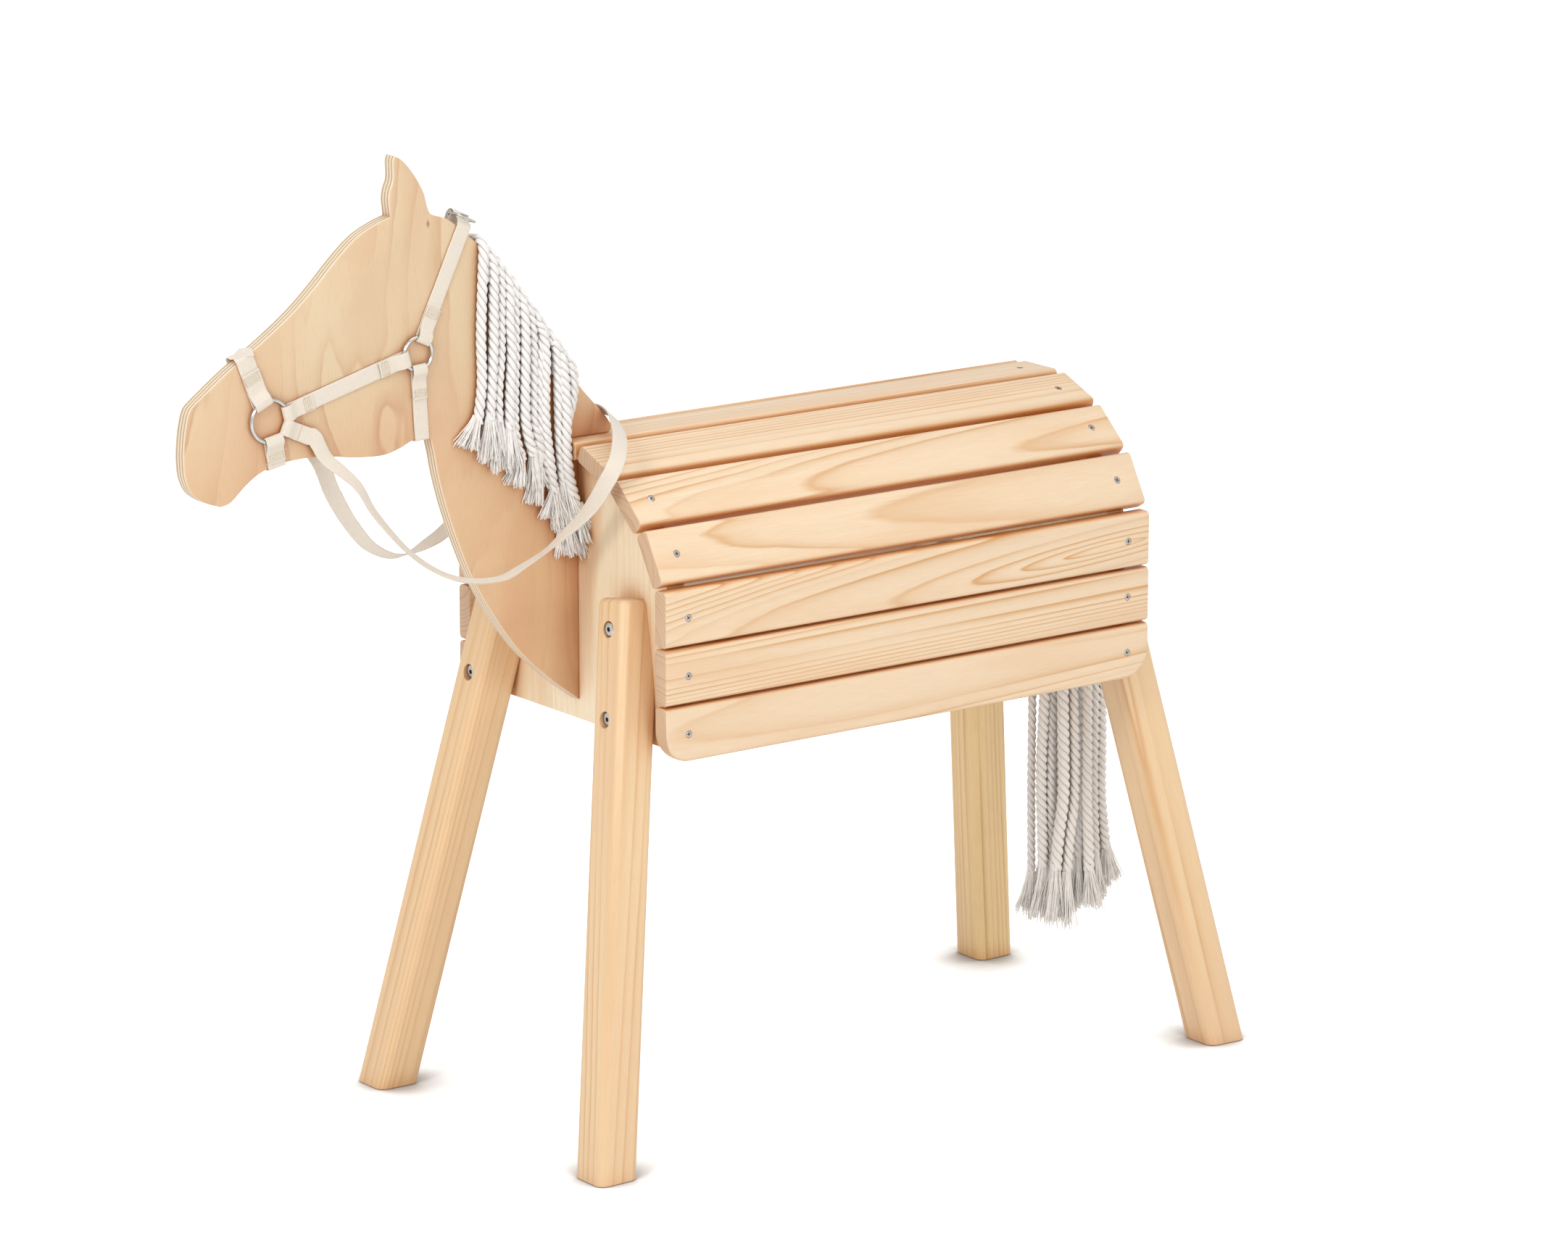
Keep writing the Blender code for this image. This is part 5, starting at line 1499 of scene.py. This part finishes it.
def cheek_straps():
    """From each nose ring to the cheek ring on the same side."""
    dy, dz = CHEEK_RING[0] - NOSE_RING[0], CHEEK_RING[1] - NOSE_RING[1]
    span, angle = math.hypot(dy, dz), math.degrees(math.atan2(dz, dy))
    points = fold(NOSE_RING, INNER_X, OUTER_X, WIDTH, 38.0)
    far = fold(CHEEK_RING, INNER_X, OUTER_X, WIDTH, 36.0)
    points += [(x, span - s, width) for x, s, width in reversed(far)]
    near_s, far_s = NOSE_RING[2], span - CHEEK_RING[2]
    for side, hand in ((1, "left"), (-1, "right")):
        attach(tape(strap_knots(NOSE_RING, angle, points, side), "cheek_strap_%s_tape" % hand),
               "horse", "cheek_strap_" + hand, slot="cotton_webbing")
        seam(NOSE_RING, angle, side, OUTER_X, near_s + 25, near_s + 35, seed=5 + side)
        seam(NOSE_RING, angle, side, OUTER_X, far_s - 33, far_s - 23, seed=9 + side)


cheek_straps()

# ---------------------------------------------------- crown straps and buckle
CROWN_ANGLE = 64.4
BAR_X, BAR_RADIUS, BAR_S = 13.0, 1.5, 173.5
PRONG_RADIUS = 1.1
# x, and s from the buckle's bar: up the left side, over the poll, through the
# buckle and down the right side
CROWN_PATH = [(INNER_X, -30), (INNER_X + 0.4, -15), (INNER_X - 0.1, -9.5), (9.0, -5.0),
              (4.0, -2.2), (0.0, 0.2), (-5.0, 3.1), (-9.5, 5.3), (-13.5, 5.8), (-17.2, 3.9),
              (-18.9, 0), (-18.4, -6), (-17.2, -14), (-16.4, -22), (-16.3, -36), (-16.3, -52)]
crown_at, crown_wide = strap_axis(CHEEK_RING, CROWN_ANGLE)


def crown_straps():
    start = fold(CHEEK_RING, INNER_X, OUTER_X, WIDTH, 38.0)
    seam_s = CHEEK_RING[2] + 26, CHEEK_RING[2] + 36
    points = start + [(INNER_X, 100.0, WIDTH)] + [(x, BAR_S + s, WIDTH) for x, s in CROWN_PATH]
    attach(tape(strap_knots(CHEEK_RING, CROWN_ANGLE, points), "crown_strap_tape"),
           "horse", "crown_strap", slot="cotton_webbing")
    seam(CHEEK_RING, CROWN_ANGLE, 1, OUTER_X, *seam_s, seed=3)
    points = [(-x, s, width) for x, s, width in start]
    points += [(-INNER_X, s, WIDTH) for s in (100.0, BAR_S - 26, BAR_S - 12)]
    turn_radius = BAR_RADIUS + 0.3 + THICK / 2
    for k in range(7):
        turn = math.radians(180 * k / 6)
        points.append((-BAR_X + turn_radius * math.cos(turn),
                       BAR_S + turn_radius * math.sin(turn), WIDTH * 0.96))
    points += [(-OUTER_X - 0.2, BAR_S - 9, WIDTH), (-OUTER_X, BAR_S - 14, WIDTH),
               (-OUTER_X, BAR_S - 34, WIDTH)]
    attach(tape(strap_knots(CHEEK_RING, CROWN_ANGLE, points), "crown_buckle_strap_tape"),
           "horse", "crown_buckle_strap", slot="cotton_webbing")
    seam(CHEEK_RING, CROWN_ANGLE, -1, OUTER_X, *seam_s, seed=4)
    seam(CHEEK_RING, CROWN_ANGLE, -1, OUTER_X, BAR_S - 31, BAR_S - 22, seed=6)


def wire(name, line, closed, radius, around, up, body):
    """Round wire along a flat line; up stands off the line's plane."""
    rings = []
    for i, point in enumerate(line):
        before = line[i - 1] if closed or i else line[0]
        after = line[(i + 1) % len(line)] if closed or i < len(line) - 1 else line[-1]
        tangent = (Vector(after) - Vector(before)).normalized()
        normal = (up - tangent * up.dot(tangent)).normalized()
        binormal = tangent.cross(normal)
        rings.append([put(*(Vector(point) + normal * radius * c + binormal * radius * s))
                      for c, s in circle(around)])
    attach(from_bm(loft(rings, closed), name + "_wire", [NICKEL], 60), body, name,
           slot="nickel_steel")


def buckle():
    along = (Vector(crown_at(0, 1)) - Vector(crown_at(0, 0))).normalized()
    line = [crown_at(x, BAR_S, w) for x, w in rounded_rect(2 * BAR_X, 28.0, 4.5, 8)]
    wire("buckle_frame", line, True, BAR_RADIUS, 12, along, "horse")
    # the prong curls round the bar and lies across to the other bar
    curl = BAR_RADIUS + 0.35 + PRONG_RADIUS
    line = []
    for k in range(15):
        turn = math.radians(-95 - 175 * k / 14)
        line.append(crown_at(-BAR_X + curl * math.cos(turn), BAR_S + curl * math.sin(turn)))
    line += [crown_at(x, BAR_S + curl + lift)
             for x, lift in ((-8.0, 0.0), (0.0, 0.3), (8.0, 0.3), (BAR_X + 1.2, 0.0))]
    wire("buckle_prong", line, False, PRONG_RADIUS, 10, Vector(crown_wide), "buckle_prong")


crown_straps()
buckle()

# ----------------------------------------------------------------- the reins
REIN_ANGLE, REIN_START = -25.0, 57.7
REIN_INNER_X, REIN_OUTER_X = INNER_X + 0.6, OUTER_X + 0.6
TOWARDS_CAMERA = Vector((0.780, -0.579, 0.237))
# centreline, then how far the webbing is turned from lying square to the camera
LEFT_REIN = [((20, -351, 891), 142), ((31, -331, 871), 127), ((43, -318, 853), 117),
             ((53, -303, 821), 110), ((66, -266, 774), 104), ((75, -227, 744), 104),
             ((77, -184, 728), 107), ((73, -136, 724), 111), ((66, -101, 732), 112),
             ((63, -62, 747), 106), ((73, -43, 766), 120), ((93, -33, 787), 136),
             ((115, -28, 811), 156), ((135, -24, 839), 175), ((141, -18, 855), 185),
             ((134, -6, 867), 190), ((118, 8, 877), 204), ((94, 25, 884), 220),
             ((64, 42, 889), 238), ((35, 57, 892), 256), ((14, 64, 894), 279)]
RIGHT_REIN = [((-19, -350, 898), 152), ((-27, -331, 876), 160), ((-34, -318, 857), 168),
              ((-42, -303, 831), 180), ((-63, -266, 786), 202), ((-75, -227, 747), 227),
              ((-77, -184, 730), 262), ((-74, -136, 745), 318), ((-68, -101, 768), 330),
              ((-65, -62, 776), 300), ((-73, -43, 768), 275), ((-93, -33, 787), 255),
              ((-115, -28, 811), 245), ((-135, -24, 839), 240), ((-141, -18, 855), 248),
              ((-134, -6, 867), 264), ((-118, 8, 877), 265), ((-94, 25, 884), 259),
              ((-64, 42, 889), 250), ((-35, 57, 892), 240), ((-14, 64, 894), 237)]
REIN_TOP, REIN_TOP_WIDE = (0.0, 64.5, 895.0), (0.0, 0.67, -0.74)


def turned(run, start):
    """Place and width direction of each point, from its turn about the tangent."""
    line = [Vector(start)] + [Vector(p) for p, _ in run] + [Vector(REIN_TOP)]
    knots = []
    for k, (point, turn) in enumerate(run):
        tangent = (line[k + 2] - line[k]).normalized()
        square = TOWARDS_CAMERA.cross(tangent).normalized()
        turn = math.radians(turn)
        wide = square * math.cos(turn) + tangent.cross(square) * math.sin(turn)
        knots.append(tuple(map(float, point)) + tuple(wide))
    return knots


def reins():
    for side, hand in ((1, "left"), (-1, "right")):
        points = fold(NOSE_RING, REIN_INNER_X, REIN_OUTER_X, WIDTH, 33.0)
        points.append((REIN_INNER_X, NOSE_RING[2] + 38.0, WIDTH))
        attach(tape(strap_knots(NOSE_RING, REIN_ANGLE, points, side), "rein_end_%s_tape" % hand),
               "horse", "rein_end_" + hand, slot="cotton_webbing")
        seam(NOSE_RING, REIN_ANGLE, side, REIN_OUTER_X, NOSE_RING[2] + 20, NOSE_RING[2] + 30,
             seed=21 + side)
    at, wide = strap_axis(NOSE_RING, REIN_ANGLE)
    lap_x = REIN_OUTER_X + THICK + 0.2
    halves_ = []
    for side, run in ((1, LEFT_REIN), (-1, RIGHT_REIN)):
        start = [at(side * (lap_x + out), REIN_START + s) + wide
                 for out, s in ((0.0, -12.0), (0.0, 0.0), (0.6, 10.0))]
        halves_.append(start + turned(run, start[-1][:3]))
    knots, last = [], None
    for knot in halves_[0] + [REIN_TOP + REIN_TOP_WIDE] + halves_[1][::-1]:
        wide = Vector(knot[3:6]).normalized()
        # keep neighbouring width directions on the same side
        if last is not None and wide.dot(last) < 0:
            wide = -wide
        last = wide
        knots.append(knot[:3] + tuple(wide) + (WIDTH,))
    attach(tape(knots, "reins_tape", fine=8, seed=3), "reins", "reins", slot="cotton_webbing")


reins()
attach(stitching.build("halter_stitching", THREAD), "horse", slot="cotton_webbing")


# ============================================================ floor and lights
def studio_floor():
    """A near-white floor that glows to the camera, with painted shadow darkening it close to the
    feet.
    """
    paint = Shader("studio_floor", rough=0.6, specular=0.2)
    # painted shadow: colour and glow darken where the feet and legs close in
    clear = paint.openness(distance=0.16, samples=16).smooth(over=(0.40, 0.985), to=(0.0, 1.0))
    colour = paint.mix(clear, (0.56, 0.56, 0.565), (0.96, 0.96, 0.96))
    seen = paint.value("LightPath", output="Is Camera Ray")
    paint.set("Emission Color", (1.0, 1.0, 1.0))
    paint.set("Emission Strength", seen * (clear ** 3.0 * 0.55))
    bm = bmesh.new()
    bmesh.ops.create_grid(bm, x_segments=1, y_segments=1, size=40.0)
    floor = from_bm(bm, "studio_floor", [paint.finish(colour)], 0)
    floor.location.z = -0.0004


def studio_world():
    world = bpy.data.worlds.new("studio")
    bpy.context.scene.world = world
    world.use_nodes = True
    background = world.node_tree.nodes["Background"]
    background.inputs["Color"].default_value = (1.0, 1.0, 1.0, 1.0)
    background.inputs["Strength"].default_value = 0.80


def lamp(name, place, aim_z, size, power, colour=(1, 1, 1)):
    """A square area light aimed at a height on the scene's z axis; metres, watts."""
    light = bpy.data.lights.new(name, 'AREA')
    light.shape = 'RECTANGLE'
    light.size = light.size_y = size
    light.energy = power
    light.color = colour
    obj = add_object(name, light)
    obj.location = place
    aim = Vector((0, 0, aim_z)) - Vector(place)
    obj.rotation_euler = aim.to_track_quat('-Z', 'Y').to_euler()


studio_floor()
studio_world()
lamp("key", (1.7, -4.2, 3.3), aim_z=0.7, size=1.3, power=66.0, colour=(1.0, 0.99, 0.975))
lamp("side", (5.0, -0.6, 2.2), aim_z=0.7, size=1.6, power=46.0)
lamp("top", (0.6, 0.2, 4.2), aim_z=0.6, size=2.6, power=26.0)

# ==================================================================== camera
CAMERA_PLACE = (6673.3, -4612.0, 2615.5)
CAMERA_AZIMUTH, CAMERA_HEIGHT = math.radians(53.401), math.radians(13.701)   # angles
CAMERA_LENS = 155.297642              # on a sensor 36 mm wide


def camera():
    data = bpy.data.cameras.new("camera")
    obj = add_object("camera", data)
    data.sensor_width = 36.0
    data.sensor_fit = 'HORIZONTAL'
    data.lens = CAMERA_LENS
    data.clip_end = 100.0
    level = math.cos(CAMERA_HEIGHT)
    back = Vector((math.sin(CAMERA_AZIMUTH) * level, -math.cos(CAMERA_AZIMUTH) * level,
                   math.sin(CAMERA_HEIGHT)))
    right = Vector((math.cos(CAMERA_AZIMUTH), math.sin(CAMERA_AZIMUTH), 0.0))
    matrix = Matrix((right, back.cross(right), back)).transposed().to_4x4()
    matrix.translation = put(*CAMERA_PLACE)
    obj.matrix_world = matrix
    bpy.context.scene.camera = obj


camera()
bpy.context.scene.view_settings.view_transform = 'Standard'
bpy.context.scene.view_settings.look = 'None'
